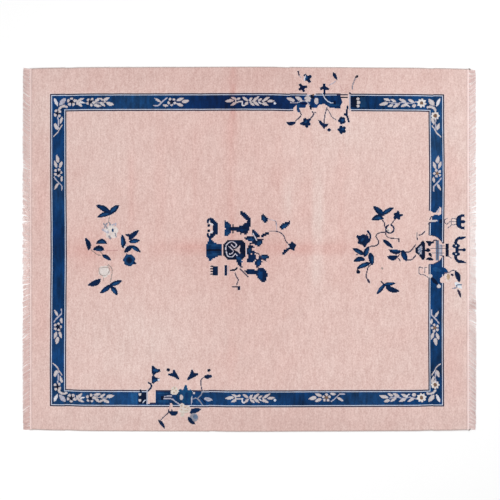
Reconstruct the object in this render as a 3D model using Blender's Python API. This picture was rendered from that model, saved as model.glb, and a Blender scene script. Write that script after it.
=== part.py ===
"""A hand-knotted Chinese art deco carpet lying flat: wool pile, overcast long edges, woven ends, knotted fringes.

Metres. +X runs along the length towards the end that the motifs' tops point to, +Y runs across it,
+Z is up out of the pile. The origin is on the surface that the carpet lies on, under its middle.
"""

import math

import bmesh
import bpy

# Overall sizes
OVERALL_LENGTH = 3.060  # tip to tip of the fringes
OVERALL_WIDTH = 2.459  # over the overcast edges, where the carpet is widest

# Pile
PILE_LENGTH = 2.927
PILE_HEIGHT = 0.012
CORNER_RADIUS = 0.010
CORNER_STEPS = 4
RIM_ROUNDING = 0.0025
RIM_STEPS = 2

# Trim
GAP = 0.0003  # between neighbouring pieces
SELVAGE_WIDTH = 0.006
SELVAGE_HEIGHT = 0.0075
WEB_WIDTH = 0.0135
WEB_HEIGHT = 0.004
KNOT_ROW_WIDTH = 0.004  # the row of knots that the fringe hangs from
FRINGE_HEIGHT = 0.003

# Fringe tassels along each end
TASSELS = 168
TASSEL_SHARE = 0.62  # how much of the pitch a tassel takes
TIP_SHARE = 0.42  # the same at its free end, where the yarn thins
END_MARGIN = 0.009  # bare knot row at each corner

# How the long edges bow. along: -1 to 1 over the pile's length.
# upper_in, lower_in: how far the +Y and the -Y edge are drawn in from the widest place.
BOW = (
    {"along": -1.00, "upper_in": 0.0078, "lower_in": 0.0110},
    {"along": -0.68, "upper_in": 0.0030, "lower_in": 0.0042},
    {"along": -0.34, "upper_in": 0.0018, "lower_in": 0.0026},
    {"along": 0.00, "upper_in": 0.0000, "lower_in": 0.0000},
    {"along": 0.34, "upper_in": 0.0030, "lower_in": 0.0022},
    {"along": 0.68, "upper_in": 0.0062, "lower_in": 0.0042},
    {"along": 1.00, "upper_in": 0.0118, "lower_in": 0.0088},
)

# How the fringes lie. across: -1 to 1 over the carpet's width. reach: the tassels' length as a share of
# the longest. lean: how far a tip lies off its root, towards +Y, as a share of the tassel's length.
FRINGE_LIE = (
    {"across": -1.00, "reach": 0.80, "lean": -0.16},
    {"across": -0.88, "reach": 0.93, "lean": -0.46},
    {"across": -0.45, "reach": 1.00, "lean": -0.38},
    {"across": -0.10, "reach": 0.99, "lean": -0.12},
    {"across": 0.12, "reach": 1.00, "lean": 0.10},
    {"across": 0.50, "reach": 0.98, "lean": 0.40},
    {"across": 0.88, "reach": 0.92, "lean": 0.48},
    {"across": 1.00, "reach": 0.78, "lean": 0.14},
)

EDGE_STATIONS = 28  # along each long edge
END_STATIONS = 12  # along each end


def from_table(table, key, value, at):
    """The table's value at a place along its key, eased between neighbouring rows."""
    at = min(max(at, table[0][key]), table[-1][key])
    for low, high in zip(table, table[1:]):
        if at <= high[key]:
            share = (at - low[key]) / (high[key] - low[key])
            eased = share * share * (3 - 2 * share)
            return low[value] + (high[value] - low[value]) * eased
    return table[-1][value]


def outer_edge(x, side):
    """Y of the overcast edge's outer side at x. side is 1 for the +Y edge and -1 for the -Y edge."""
    column = "upper_in" if side > 0 else "lower_in"
    drawn_in = from_table(BOW, "along", column, x / (PILE_LENGTH / 2))
    return side * (OVERALL_WIDTH / 2 - drawn_in)


def pile_edge(x, side):
    return outer_edge(x, side) - side * (SELVAGE_WIDTH + GAP)


def evenly(low, high, count):
    return [low + (high - low) * i / (count - 1) for i in range(count)]


def material(name, colour, roughness):
    made = bpy.data.materials.new(name)
    made.use_nodes = True
    shader = made.node_tree.nodes["Principled BSDF"]
    shader.inputs["Base Color"].default_value = (*colour, 1.0)
    shader.inputs["Roughness"].default_value = roughness
    shader.inputs["Metallic"].default_value = 0.0
    return made


def finish(name, shape, finish_material):
    """Turns a bmesh into a named object with its faces pointing out."""
    bmesh.ops.recalc_face_normals(shape, faces=shape.faces)
    mesh = bpy.data.meshes.new(name)
    shape.to_mesh(mesh)
    shape.free()
    mesh.materials.append(finish_material)
    made = bpy.data.objects.new(name, mesh)
    bpy.context.collection.objects.link(made)
    return made


def raised(shape, height):
    """Extrudes the flat faces of a bmesh straight up into a closed slab, and returns the top's vertices."""
    pulled = bmesh.ops.extrude_face_region(shape, geom=list(shape.faces), use_keep_orig=True)
    top = [item for item in pulled["geom"] if isinstance(item, bmesh.types.BMVert)]
    bmesh.ops.translate(shape, verts=top, vec=(0, 0, height))
    return top


def corner_arc(end, side, turns):
    """Points round one corner of the pile. end is 1 at +X and -1 at -X; turns is the arc's start and end angle."""
    centre_x = end * (PILE_LENGTH / 2 - CORNER_RADIUS)
    centre_y = pile_edge(centre_x, side) - side * CORNER_RADIUS
    angles = evenly(math.radians(turns[0]), math.radians(turns[1]), CORNER_STEPS)
    return [
        (centre_x + CORNER_RADIUS * math.cos(a), centre_y + CORNER_RADIUS * math.sin(a))
        for a in angles
    ]


def pile_outline():
    """The pile's outline, anticlockwise from its +X, -Y corner."""
    inner_x = PILE_LENGTH / 2 - CORNER_RADIUS
    inner_y = OVERALL_WIDTH / 2 - SELVAGE_WIDTH - 3 * CORNER_RADIUS
    along = evenly(-inner_x, inner_x, EDGE_STATIONS)[1:-1]
    across = evenly(-inner_y, inner_y, END_STATIONS)
    outline = corner_arc(1, -1, (-90, 0))
    outline += [(PILE_LENGTH / 2, y) for y in across]
    outline += corner_arc(1, 1, (0, 90))
    outline += [(x, pile_edge(x, 1)) for x in reversed(along)]
    outline += corner_arc(-1, 1, (90, 180))
    outline += [(-PILE_LENGTH / 2, y) for y in reversed(across)]
    outline += corner_arc(-1, -1, (180, 270))
    outline += [(x, pile_edge(x, -1)) for x in along]
    return outline


def make_pile():
    shape = bmesh.new()
    shape.faces.new([shape.verts.new((x, y, 0)) for x, y in pile_outline()])
    top = set(raised(shape, PILE_HEIGHT))
    rim = [edge for edge in shape.edges if set(edge.verts) <= top]
    bmesh.ops.bevel(
        shape, geom=rim, offset=RIM_ROUNDING, segments=RIM_STEPS, profile=0.5, affect="EDGES"
    )
    return finish("pile", shape, material("pile_wool", (0.745, 0.527, 0.479), 0.95))


def make_selvage(side, name):
    """An overcast long edge: a cord-like strip, flat below and round above, along the pile's bowed edge."""
    half = PILE_LENGTH / 2 + GAP + WEB_WIDTH
    profile = (  # across: 0 at the pile to 1 outside. up: share of the height
        {"across": 0.0, "up": 0.0},
        {"across": 0.0, "up": 0.75},
        {"across": 0.3, "up": 1.0},
        {"across": 0.7, "up": 0.95},
        {"across": 1.0, "up": 0.55},
        {"across": 1.0, "up": 0.0},
    )
    shape = bmesh.new()
    rings = []
    for x in evenly(-half, half, EDGE_STATIONS):
        inside = outer_edge(x, side) - side * SELVAGE_WIDTH
        rings.append(
            [
                shape.verts.new((x, inside + side * SELVAGE_WIDTH * p["across"], SELVAGE_HEIGHT * p["up"]))
                for p in profile
            ]
        )
    for ring, following in zip(rings, rings[1:]):
        for i in range(len(profile)):
            j = (i + 1) % len(profile)
            shape.faces.new((ring[i], ring[j], following[j], following[i]))
    shape.faces.new(rings[0])
    shape.faces.new(rings[-1])
    return finish(name, shape, material(name + "_wool", (0.62, 0.50, 0.46), 0.95))


def make_web(end, name):
    """The narrow woven end between the pile and the fringe, from one overcast edge to the other."""
    near = PILE_LENGTH / 2 + GAP
    far = near + WEB_WIDTH
    low, high = (outer_edge(end * near, side) - side * (SELVAGE_WIDTH + GAP) for side in (-1, 1))
    shape = bmesh.new()
    corners = ((near, low), (far, low), (far, high), (near, high))
    shape.faces.new([shape.verts.new((end * x, y, 0)) for x, y in corners])
    raised(shape, WEB_HEIGHT)
    return finish(name, shape, material(name + "_cotton", (0.90, 0.76, 0.71), 0.9))


def make_fringe(end, name):
    """One comb: a row of knots along the web's edge with a tassel hanging from each pitch of it."""
    root = PILE_LENGTH / 2 + 2 * GAP + WEB_WIDTH
    knots_end = root + KNOT_ROW_WIDTH
    longest = OVERALL_LENGTH / 2 - knots_end
    low, high = (outer_edge(end * PILE_LENGTH / 2, side) - side * END_MARGIN for side in (-1, 1))
    pitch = (high - low) / TASSELS
    shape = bmesh.new()

    def vertex(x, y):
        return shape.verts.new((end * x, y, 0))

    back = vertex(root, low)
    front = vertex(knots_end, low)
    for i in range(TASSELS):
        middle = low + (i + 0.5) * pitch
        across = (2 * i + 1) / TASSELS - 1
        length = longest * from_table(FRINGE_LIE, "across", "reach", across)
        tip = middle + length * from_table(FRINGE_LIE, "across", "lean", across)
        stops = (middle - pitch * TASSEL_SHARE / 2, middle + pitch * TASSEL_SHARE / 2)
        tips = (tip - pitch * TIP_SHARE / 2, tip + pitch * TIP_SHARE / 2)
        backs = [vertex(root, y) for y in stops]
        fronts = [vertex(knots_end, y) for y in stops]
        ends = [vertex(knots_end + length, y) for y in tips]
        shape.faces.new((back, front, fronts[0], backs[0]))
        shape.faces.new((backs[0], fronts[0], fronts[1], backs[1]))
        shape.faces.new((fronts[0], ends[0], ends[1], fronts[1]))
        back, front = backs[1], fronts[1]
    shape.faces.new((back, front, vertex(knots_end, high), vertex(root, high)))
    raised(shape, FRINGE_HEIGHT)
    return finish(name, shape, material(name + "_cotton", (0.88, 0.72, 0.67), 0.9))


def main():
    for existing in list(bpy.data.objects):
        bpy.data.objects.remove(existing, do_unlink=True)
    make_pile()
    make_selvage(1, "selvage_upper")
    make_selvage(-1, "selvage_lower")
    make_web(-1, "web_left")
    make_web(1, "web_right")
    make_fringe(-1, "fringe_left")
    make_fringe(1, "fringe_right")


main()
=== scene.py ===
"""The looks of a hand-knotted Chinese art deco carpet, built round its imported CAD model.

The design is charted knot by knot, in centimetres from the carpet's middle, with +X towards the end that
the motifs' tops point to. Meshes are in metres, in the CAD model's frame.
"""

import math

import bpy
import mathutils
import numpy as np
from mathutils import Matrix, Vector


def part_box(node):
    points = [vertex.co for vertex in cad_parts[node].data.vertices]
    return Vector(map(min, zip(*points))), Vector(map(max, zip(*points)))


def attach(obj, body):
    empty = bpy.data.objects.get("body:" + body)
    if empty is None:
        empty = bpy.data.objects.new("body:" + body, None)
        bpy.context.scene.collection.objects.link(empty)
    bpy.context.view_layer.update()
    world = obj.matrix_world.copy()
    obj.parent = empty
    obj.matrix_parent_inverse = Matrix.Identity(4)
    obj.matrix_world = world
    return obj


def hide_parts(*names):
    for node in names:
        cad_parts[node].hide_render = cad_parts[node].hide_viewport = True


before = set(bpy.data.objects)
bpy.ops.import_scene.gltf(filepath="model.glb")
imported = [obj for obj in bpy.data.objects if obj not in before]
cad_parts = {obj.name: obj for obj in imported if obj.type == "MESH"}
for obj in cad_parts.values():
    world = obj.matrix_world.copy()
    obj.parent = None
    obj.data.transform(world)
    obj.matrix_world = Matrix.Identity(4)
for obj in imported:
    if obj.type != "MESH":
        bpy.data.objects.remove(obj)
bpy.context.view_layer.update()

# Knots of the chart: whole cells of COARSE knots fit both ways
COLUMNS = 664
ROWS = 552
COARSE = 8
DESIGN_SIZE = (292.7, 244.6)  # cm, along and across the pile

# Wools, as sRGB values from 0 to 255, and how unevenly each took its dye
WOOLS = {
    "ground": ((216, 186, 179), 0.03),
    # edge: a paler pink, painted as highlight along the ground beside dark motifs, and also one flower's wool
    "edge": ((217, 194, 189), 0.03),
    "navy": ((4, 46, 90), 0.55),
    "ink": ((3, 29, 64), 0.35),
    "deep": ((4, 18, 46), 0.3),
    "blue": ((19, 63, 107), 0.4),
    "light": ((200, 208, 224), 0.08),
    "outline": ((54, 47, 68), 0.2),
    "cream": ((192, 183, 184), 0.05),
    "ivory": ((214, 206, 202), 0.05),
    "bone": ((208, 197, 188), 0.05),
    "tan": ((118, 94, 80), 0.1),
    "grey": ((140, 140, 151), 0.1),
    "stem": ((84, 74, 90), 0.1),
    "slate": ((98, 114, 138), 0.1),
    "sand": ((180, 152, 126), 0.05),
    "twig": ((150, 138, 134), 0.1),
    "white": ((210, 208, 214), 0.05),
    "mist": ((170, 168, 182), 0.08),
    "teal": ((14, 64, 104), 0.3),
    "rose": ((198, 163, 159), 0.05),
}
WOOL = {name: number for number, name in enumerate(WOOLS)}
DARK_WOOLS = [WOOL[name] for name in ("navy", "ink", "deep", "blue", "outline", "teal", "stem")]
BLUE_WOOLS = [WOOL[name] for name in ("navy", "ink", "blue")]


def table(columns, *rows):
    """A table's rows, each with its values by the names of the columns."""
    return [dict(zip(columns.split(), row)) for row in rows]


# ---------------------------------------------------------------- the chart and its shapes


class Chart:
    """The carpet's design, one wool for every knot."""

    def __init__(self):
        length, width = DESIGN_SIZE
        self.x = (np.arange(COLUMNS) + 0.5) * length / COLUMNS - length / 2
        self.y = (np.arange(ROWS) + 0.5) * width / ROWS - width / 2
        self.wool = np.zeros((ROWS, COLUMNS), np.uint8)
        self.step = 1  # the knots are changed in squares of this many

    def window(self, low, high):
        """The rows and columns of knots between two corners."""
        i = np.searchsorted(self.x, (low[0], high[0])) // self.step * self.step
        j = np.searchsorted(self.y, (low[1], high[1])) // self.step * self.step
        return slice(j[0], j[1] + self.step), slice(i[0], i[1] + self.step)

    def middles(self, places):
        """The middle of the square of knots that each knot belongs to."""
        return places.reshape(-1, self.step).mean(1).repeat(self.step)

    def fill(self, outline, wool, only=None):
        """Knots a closed outline in one wool. only: leave every knot that isn't of that wool."""
        p = np.asarray(outline, float)
        rows, columns = self.window(p.min(0), p.max(0))
        x, y = np.meshgrid(self.middles(self.x[columns]), self.middles(self.y[rows]))
        inside = np.zeros(x.shape, bool)
        for (x0, y0), (x1, y1) in zip(p, np.roll(p, -1, 0)):
            if y0 != y1:
                crosses = (y0 <= y) != (y1 <= y)
                inside ^= crosses & (x < x0 + (y - y0) / (y1 - y0) * (x1 - x0))
        patch = self.wool[rows, columns]
        if only is not None:
            inside &= patch == WOOL[only]
        patch[inside] = WOOL[wool]

    def line(self, points, wool, width):
        """Knots a line through the points in one wool."""
        p = np.asarray(points, float)
        rows, columns = self.window(p.min(0) - width / 2, p.max(0) + width / 2)
        x, y = np.meshgrid(self.x[columns], self.y[rows])
        near = np.zeros(x.shape, bool)
        for a, b in zip(p, p[1:]):
            d = b - a
            t = np.clip(((x - a[0]) * d[0] + (y - a[1]) * d[1]) / max(d @ d, 1e-9), 0, 1)
            near |= np.hypot(x - a[0] - t * d[0], y - a[1] - t * d[1]) <= width / 2
        self.wool[rows, columns][near] = WOOL[wool]


def smooth(points, steps=6):
    """A curve through the points."""
    p = [np.asarray(q, float) for q in points]
    if len(p) < 3:
        return np.asarray(p)
    p = [2 * p[0] - p[1], *p, 2 * p[-1] - p[-2]]
    curve = []
    for a, b, c, d in zip(p, p[1:], p[2:], p[3:]):
        for t in np.arange(steps) / steps:
            bend = (c - a) * t + (2 * a - 5 * b + 4 * c - d) * t**2 + (3 * b - a - 3 * c + d) * t**3
            curve.append(b + bend / 2)
    return np.asarray([*curve, p[-2]])


def turned(points, degrees, at):
    """The points turned about the middle, and then moved there."""
    a = math.radians(degrees)
    x, y = np.asarray(points, float).T
    turned_x = x * math.cos(a) - y * math.sin(a) + at[0]
    turned_y = x * math.sin(a) + y * math.cos(a) + at[1]
    return np.stack([turned_x, turned_y], 1)


def fill(c, wool, *outline):
    c.fill(outline, wool)


def block(c, wool, x0, y0, x1, y1, only=None):
    c.fill(((x0, y0), (x1, y0), (x1, y1), (x0, y1)), wool, only)


def stem(c, wool, width, *points):
    """A curved line through the points."""
    c.line(smooth(points), wool, width)


def leaf(c, wool, x0, y0, x1, y1, width, lean=0.0, belly=0.45, full=0.8):
    """A leaf from its base to its tip. lean: how much more of it lies on its left. belly: the share of its
    length where it's widest. full: below 1 for a leaf with full shoulders."""
    base = np.array((x0, y0), float)
    along = np.array((x1 - x0, y1 - y0), float)
    normal = np.array((-along[1], along[0])) / max(np.hypot(*along), 1e-6)
    s = np.linspace(0, 1, 13)
    half = width * np.sin(math.pi * s ** (math.log(0.5) / math.log(belly))) ** full
    spine = base + along * s[:, None]
    left = spine + normal * (half * (1 + lean) / 2)[:, None]
    right = spine - normal * (half * (1 - lean) / 2)[:, None]
    c.fill(np.concatenate([left, right[::-1]]), wool)


def disc(c, wool, x, y, radius, stretch=1.0):
    a = np.linspace(0, math.tau, 25)[:-1]
    c.fill(np.stack([x + radius * np.cos(a), y + radius * stretch * np.sin(a)], 1), wool)


def blossom(c, wool, x, y, radius, petals, notch, turn):
    """A flower of round petals. notch: how far it comes in between them, as a share of the radius."""
    a = np.linspace(0, math.tau, 49)[:-1]
    lobe = np.abs(np.cos(petals * a / 2)) ** 0.6
    r = radius * (1 - notch * (1 - lobe))
    c.fill(turned(np.stack([r * np.cos(a), r * np.sin(a)], 1), turn, (x, y)), wool)


def star(c, wool, x, y, inner, blunt, *tips):
    """A pointed flower. tips: the angle and the reach of each point, blunt wide. Between them the outline
    comes in to the inner radius."""
    outline = []

    def corner_at(degrees, radius):
        w = math.radians(degrees)
        outline.append((x + radius * math.cos(w), y + radius * math.sin(w)))

    tips = sorted(tips)
    for (angle, reach), (following, _) in zip(tips, tips[1:] + tips[:1]):
        if following <= angle:
            following += 360
        corner_at(angle - blunt * 2.6 / reach, reach)
        corner_at(angle + blunt * 2.6 / reach, reach)
        corner_at((angle + following) / 2, inner)
    c.fill(outline, wool)


def vessel(c, wool, x0, y0, x1, y1, *profile):
    """A pot from its foot to its mouth. profile: share of the way, and half width there."""
    foot, way = np.array((x0, y0), float), np.array((x1 - x0, y1 - y0), float)
    across = np.array((-way[1], way[0])) / np.hypot(*way)
    left = smooth([foot + way * s + across * w for s, w in profile], 4)
    right = smooth([foot + way * s - across * w for s, w in profile], 4)
    c.fill(np.concatenate([left, right[::-1]]), wool)


def several(shape, c, wool, *rows):
    """The same kind of shape in one wool, once for every row of its sizes."""
    for row in rows:
        shape(c, wool, *row)


# ---------------------------------------------------------------- border

# The band's edges, in cm over the pile's width of 244.6
BAND_X = (-134.2, -122.9, 120.2, 130.75)
BAND_Y = (-106.5, -94.8, 93.2, 104.9)
DARK_LINE = 0.882  # two knots
LIGHT_LINE = 0.441  # one knot


def band(c):
    x0, x1, x2, x3 = BAND_X
    y0, y1, y2, y3 = BAND_Y
    both = DARK_LINE + LIGHT_LINE
    for wool, inset in (("outline", 0), ("light", DARK_LINE), ("navy", both)):
        block(c, wool, x0 + inset, y0 + inset, x3 - inset, y3 - inset)
    for wool, outset in (("light", both), ("outline", DARK_LINE), ("ground", 0)):
        block(c, wool, x1 - outset, y1 - outset, x2 + outset, y2 + outset)


class Spray:
    """Draws in a spray's own directions, u along its stem and v across it, and lays it onto the band."""

    def __init__(self, c, at, turn=0, mirror=(1, 1), slim=1.0):
        self.c = c
        self.at = at
        self.turn = turn
        self.mirror = mirror
        self.slim = slim  # how wide its leaves are, against their rows

    def place(self, *points):
        return turned(np.array(points, float) * self.mirror, self.turn, self.at)

    def leaves(self, wool, *rows):
        """Rows of base u and v, tip u and v, width, and the belly where it isn't usual."""
        for u0, v0, u1, v1, width, *belly in rows:
            base, tip = self.place((u0, v0), (u1, v1))
            leaf(self.c, wool, *base, *tip, width * self.slim, 0, *belly)

    def stem(self, wool, width, *points):
        stem(self.c, wool, width, *self.place(*points))

    def disc(self, wool, u, v, radius):
        disc(self.c, wool, *self.place((u, v))[0], radius)

    def petals(self, wool, u, v, angles, inner, outer, width, belly):
        """Leaves all round a place. inner: where they start. outer: their reach along u and along v."""
        for angle in angles:
            cos, sin = math.cos(math.radians(angle)), math.sin(math.radians(angle))
            base = (u + inner * cos, v + inner * sin)
            tip = (u + outer[0] * cos, v + outer[1] * sin)
            self.leaves(wool, (*base, *tip, width, belly))

    def heart(self, u, v, reach, inner=0.8, first=0):
        """A dark heart with four points."""
        tips = [(first + quarter + self.turn, reach) for quarter in (0, 90, 180, 270)]
        star(self.c, "deep", *self.place((u, v))[0], inner, 9, *tips)


def spray(c, at, turn, flip, dark_heart):
    """A flower with a leafy head towards +u and a stemmed tail."""
    s = Spray(c, at, turn, (1, flip))
    s.stem("mist", 0.8, (-3.2, -2.6), (-5.6, -0.8), (-8.4, 2), (-9.6, 2.5), (-12, 2.4))
    s.leaves("cream", (-7.2, 0.2, -11.6, -2.5, 1.6), (-6.2, 2.2, -2.2, 2.7, 1.7), (3, 1, 7.8, 2.7, 2))
    s.leaves("cream", (3.2, -0.8, 8, -2.5, 2.1), (6.6, 0.2, 12, -0.9, 2.5, 0.4))
    s.petals("cream", 0, 0, (20, 92, 164, 236, 308), 0.9, (3.1, 2.9), 2, 0.6)
    if dark_heart:
        s.heart(-0.1, 0.1, 1.6)
    else:
        s.disc("tan", -0.1, 0.1, 1.15)


def left_flowers(s):
    """The two flowers along the band and the one down its side, all with dark hearts."""
    s.petals("cream", 8.7, 0.7, (90, 162, 234, 306, 378), 0.9, (3.3, 3.1), 2.3, 0.6)
    s.heart(8.7, 0.7, 1.7)
    s.leaves("cream", (12.2, 0.8, 17.2, 3.2, 1.8), (12.4, 0.6, 16, -2.8, 1.9))
    s.leaves("white", (14, 0.6, 18, -0.2, 1.2))
    s.stem("cream", 1.2, (11.6, 1.8), (12.6, 0.6), (12.6, -0.8))
    s.petals("cream", 21.5, 0.4, (60, 132, 204, 282, 350), 0.8, (3.2, 3), 2, 0.6)
    s.heart(21.5, 0.6, 1.7, 0.7, 40)
    s.leaves("cream", (23.4, -1.6, 28.6, -2.4, 1.9), (24.2, 0.4, 28, 3.2, 1.9), (27.6, 3, 30.6, 1.2, 1.4))
    s.leaves("cream", (27.6, 0.2, 31.6, -2.6, 1.8), (29.6, 1.4, 34.4, 3.4, 2), (32, -0.4, 37.4, -1.4, 2.4))
    s.stem("cream", 0.6, (23, -0.2), (27, -0.2), (31, 0.4), (33, 0))
    s.petals("cream", -0.6, -7, (35, 125, 215, 305), 0.9, (3, 3), 2.2, 0.55)
    s.heart(-0.6, -7, 1.6)


def right_flowers(s):
    """The same at the right end, where the flowers are daisies with tan hearts."""
    s.disc("ivory", 9.4, 0.2, 2.2)
    s.petals("ivory", 9.4, 0.2, range(10, 360, 45), 0.9, (3.4, 3.2), 1.6, 0.55)
    s.disc("tan", 9.4, 0.2, 1.25)
    s.leaves("cream", (14.2, 0.2, 18.8, 2.8, 2), (13, -1.4, 16, -2.2, 2.3), (19.6, 0.8, 24.8, 2.8, 1.8))
    s.leaves("cream", (18.2, -0.2, 23.4, -2.4, 2), (26.4, 0.4, 30.2, 2.6, 1.8), (24.2, -0.6, 28.8, -2.9, 2))
    s.leaves("cream", (30.4, 1.6, 35, 2.8, 1.9), (28.4, -1.2, 32.4, -2.6, 1.7), (31.6, 0.2, 38, -1.4, 2.3))
    s.stem("mist", 0.7, (13, 1), (17, -0.2), (22, 0.6), (26, -0.4), (31, 0.4))
    s.stem("white", 0.7, (17.6, -2.4), (20, -0.6))
    s.disc("ivory", 0.2, -8.4, 2.1)
    s.petals("ivory", 0.2, -8.4, range(0, 360, 45), 0.9, (3, 3), 1.6, 0.55)
    s.disc("tan", 0.2, -8.4, 1.3)


def corner(c, end, side):
    """Sprays both ways from a corner of the border."""
    at = (-128.3 if end < 0 else 125.1, 98.8 if side > 0 else -100)
    s = Spray(c, at, 0, (-end, side))
    s.leaves("white", (-0.4, -2.2, -3, 3.4, 2, 0.5))
    s.leaves("mist" if end < 0 else "cream", (0.6, -1.6, 4.8, 3.2, 3, 0.5))
    s.stem("cream", 1.5, (5.4, -2.6), (3.2, -2.2), (1.2, -3.2), (0.2, -4.6))
    if end < 0:
        left_flowers(s)
    else:
        right_flowers(s)
    s.leaves("cream", (2.6, -9.4, 1, -14.4, 1.8), (-2.6, -13.4, -0.8, -18.4, 2.2, 0.5))
    s.stem("mist", 0.8, (-0.6, -9.8), (0.2, -13), (-0.2, -16), (0.2, -17.6))
    s.stem("cream", 0.7, (2.4, -15), (0.4, -18), (-0.6, -20), (-3.4, -22.6))


def middle_spray(c, at):
    """The long spray half way along the top and the bottom band."""
    s = Spray(c, at, slim=0.86)
    s.leaves("cream", (-10.4, 0.8, -16.6, 0, 2.4), (-8.6, 1.4, -12.4, 2.8, 1.6))
    s.leaves("cream", (-9.2, 1.2, -6, 2.2, 1.9, 0.6), (-8.8, -0.8, -12.6, -2.6, 2.2, 0.4))
    s.stem("cream", 0.9, (-9.4, 1.6), (-9, -0.4), (-6.4, -0.2), (-4.8, -0.2))
    s.stem("white", 0.9, (-5, -0.2), (-5, -1.8), (-4.2, -2.8), (-3.2, -2.6))
    s.leaves("cream", (-0.8, 0.2, -4.8, 3, 2.1), (-0.4, 0.2, 2, 2.6, 1.9, 0.55))
    s.leaves("cream", (-0.8, -0.2, -3.2, -2.8, 2.1, 0.5), (0, -0.4, 3.6, -2.9, 1.9, 0.5))
    s.leaves("cream", (2.2, 0, 6.6, 3.4, 2.1), (2.4, 0.2, 6.8, -3, 2.1))
    s.stem("cream", 0.8, (0.4, 0), (2.6, 0.2))
    s.leaves("cream", (5.6, 0.2, 8.6, 2, 1.6))
    s.leaves("white", (5.8, 0, 8.2, -1.8, 1.1))
    s.leaves("cream", (8.6, 0, 13.8, 3.2, 2), (7.8, -1.2, 13, -2.6, 1.9))
    s.stem("cream", 0.7, (8.6, 0.4), (9.6, -0.8), (11, -1))
    s.leaves("cream", (11.8, 0, 16.8, 0.4, 2.2))
    s.disc("light", 17, -1.2, 0.9)


def border_sprays(c):
    for end in (-1, 1):
        for side in (-1, 1):
            corner(c, end, side)
    middle_spray(c, (0, 99.4))
    middle_spray(c, (0.2, -100.3))
    spray(c, (-52.2, 99.2), 0, -1, True)
    spray(c, (51.8, -99.9), 180, -1, False)
    spray(c, (-128.7, 51.8), 90, -1, True)
    spray(c, (-128.8, -52.6), -90, 1, True)
    spray(c, (125.9, 51.5), 90, 1, False)
    spray(c, (125.0, -53.2), -90, -1, False)


# ---------------------------------------------------------------- groups in the field


def field_leaves(c, *rows, step=1):
    """A group's leaves, most of the broad ones with a bluer side. A wool stands last where it isn't ink."""
    c.step = step
    for i, (x0, y0, x1, y1, width, lean, *wool) in enumerate(rows):
        leaf(c, wool[0] if wool else "ink", x0, y0, x1, y1, width * 1.08, lean, full=0.66)
        if width > 2.5 and i % 4 != 3:
            base, way = np.array((x0, y0), float), np.array((x1, y1), float) - (x0, y0)
            aside = np.array((y0 - y1, x1 - x0)) / np.hypot(*way) * width * 0.12 * (1 if i % 2 else -1)
            start, end = base + way * 0.18 + aside, base + way * 0.80 + aside
            leaf(c, "blue" if i % 3 else "navy", *start, *end, width * 0.52, lean)
    c.step = 1


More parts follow.
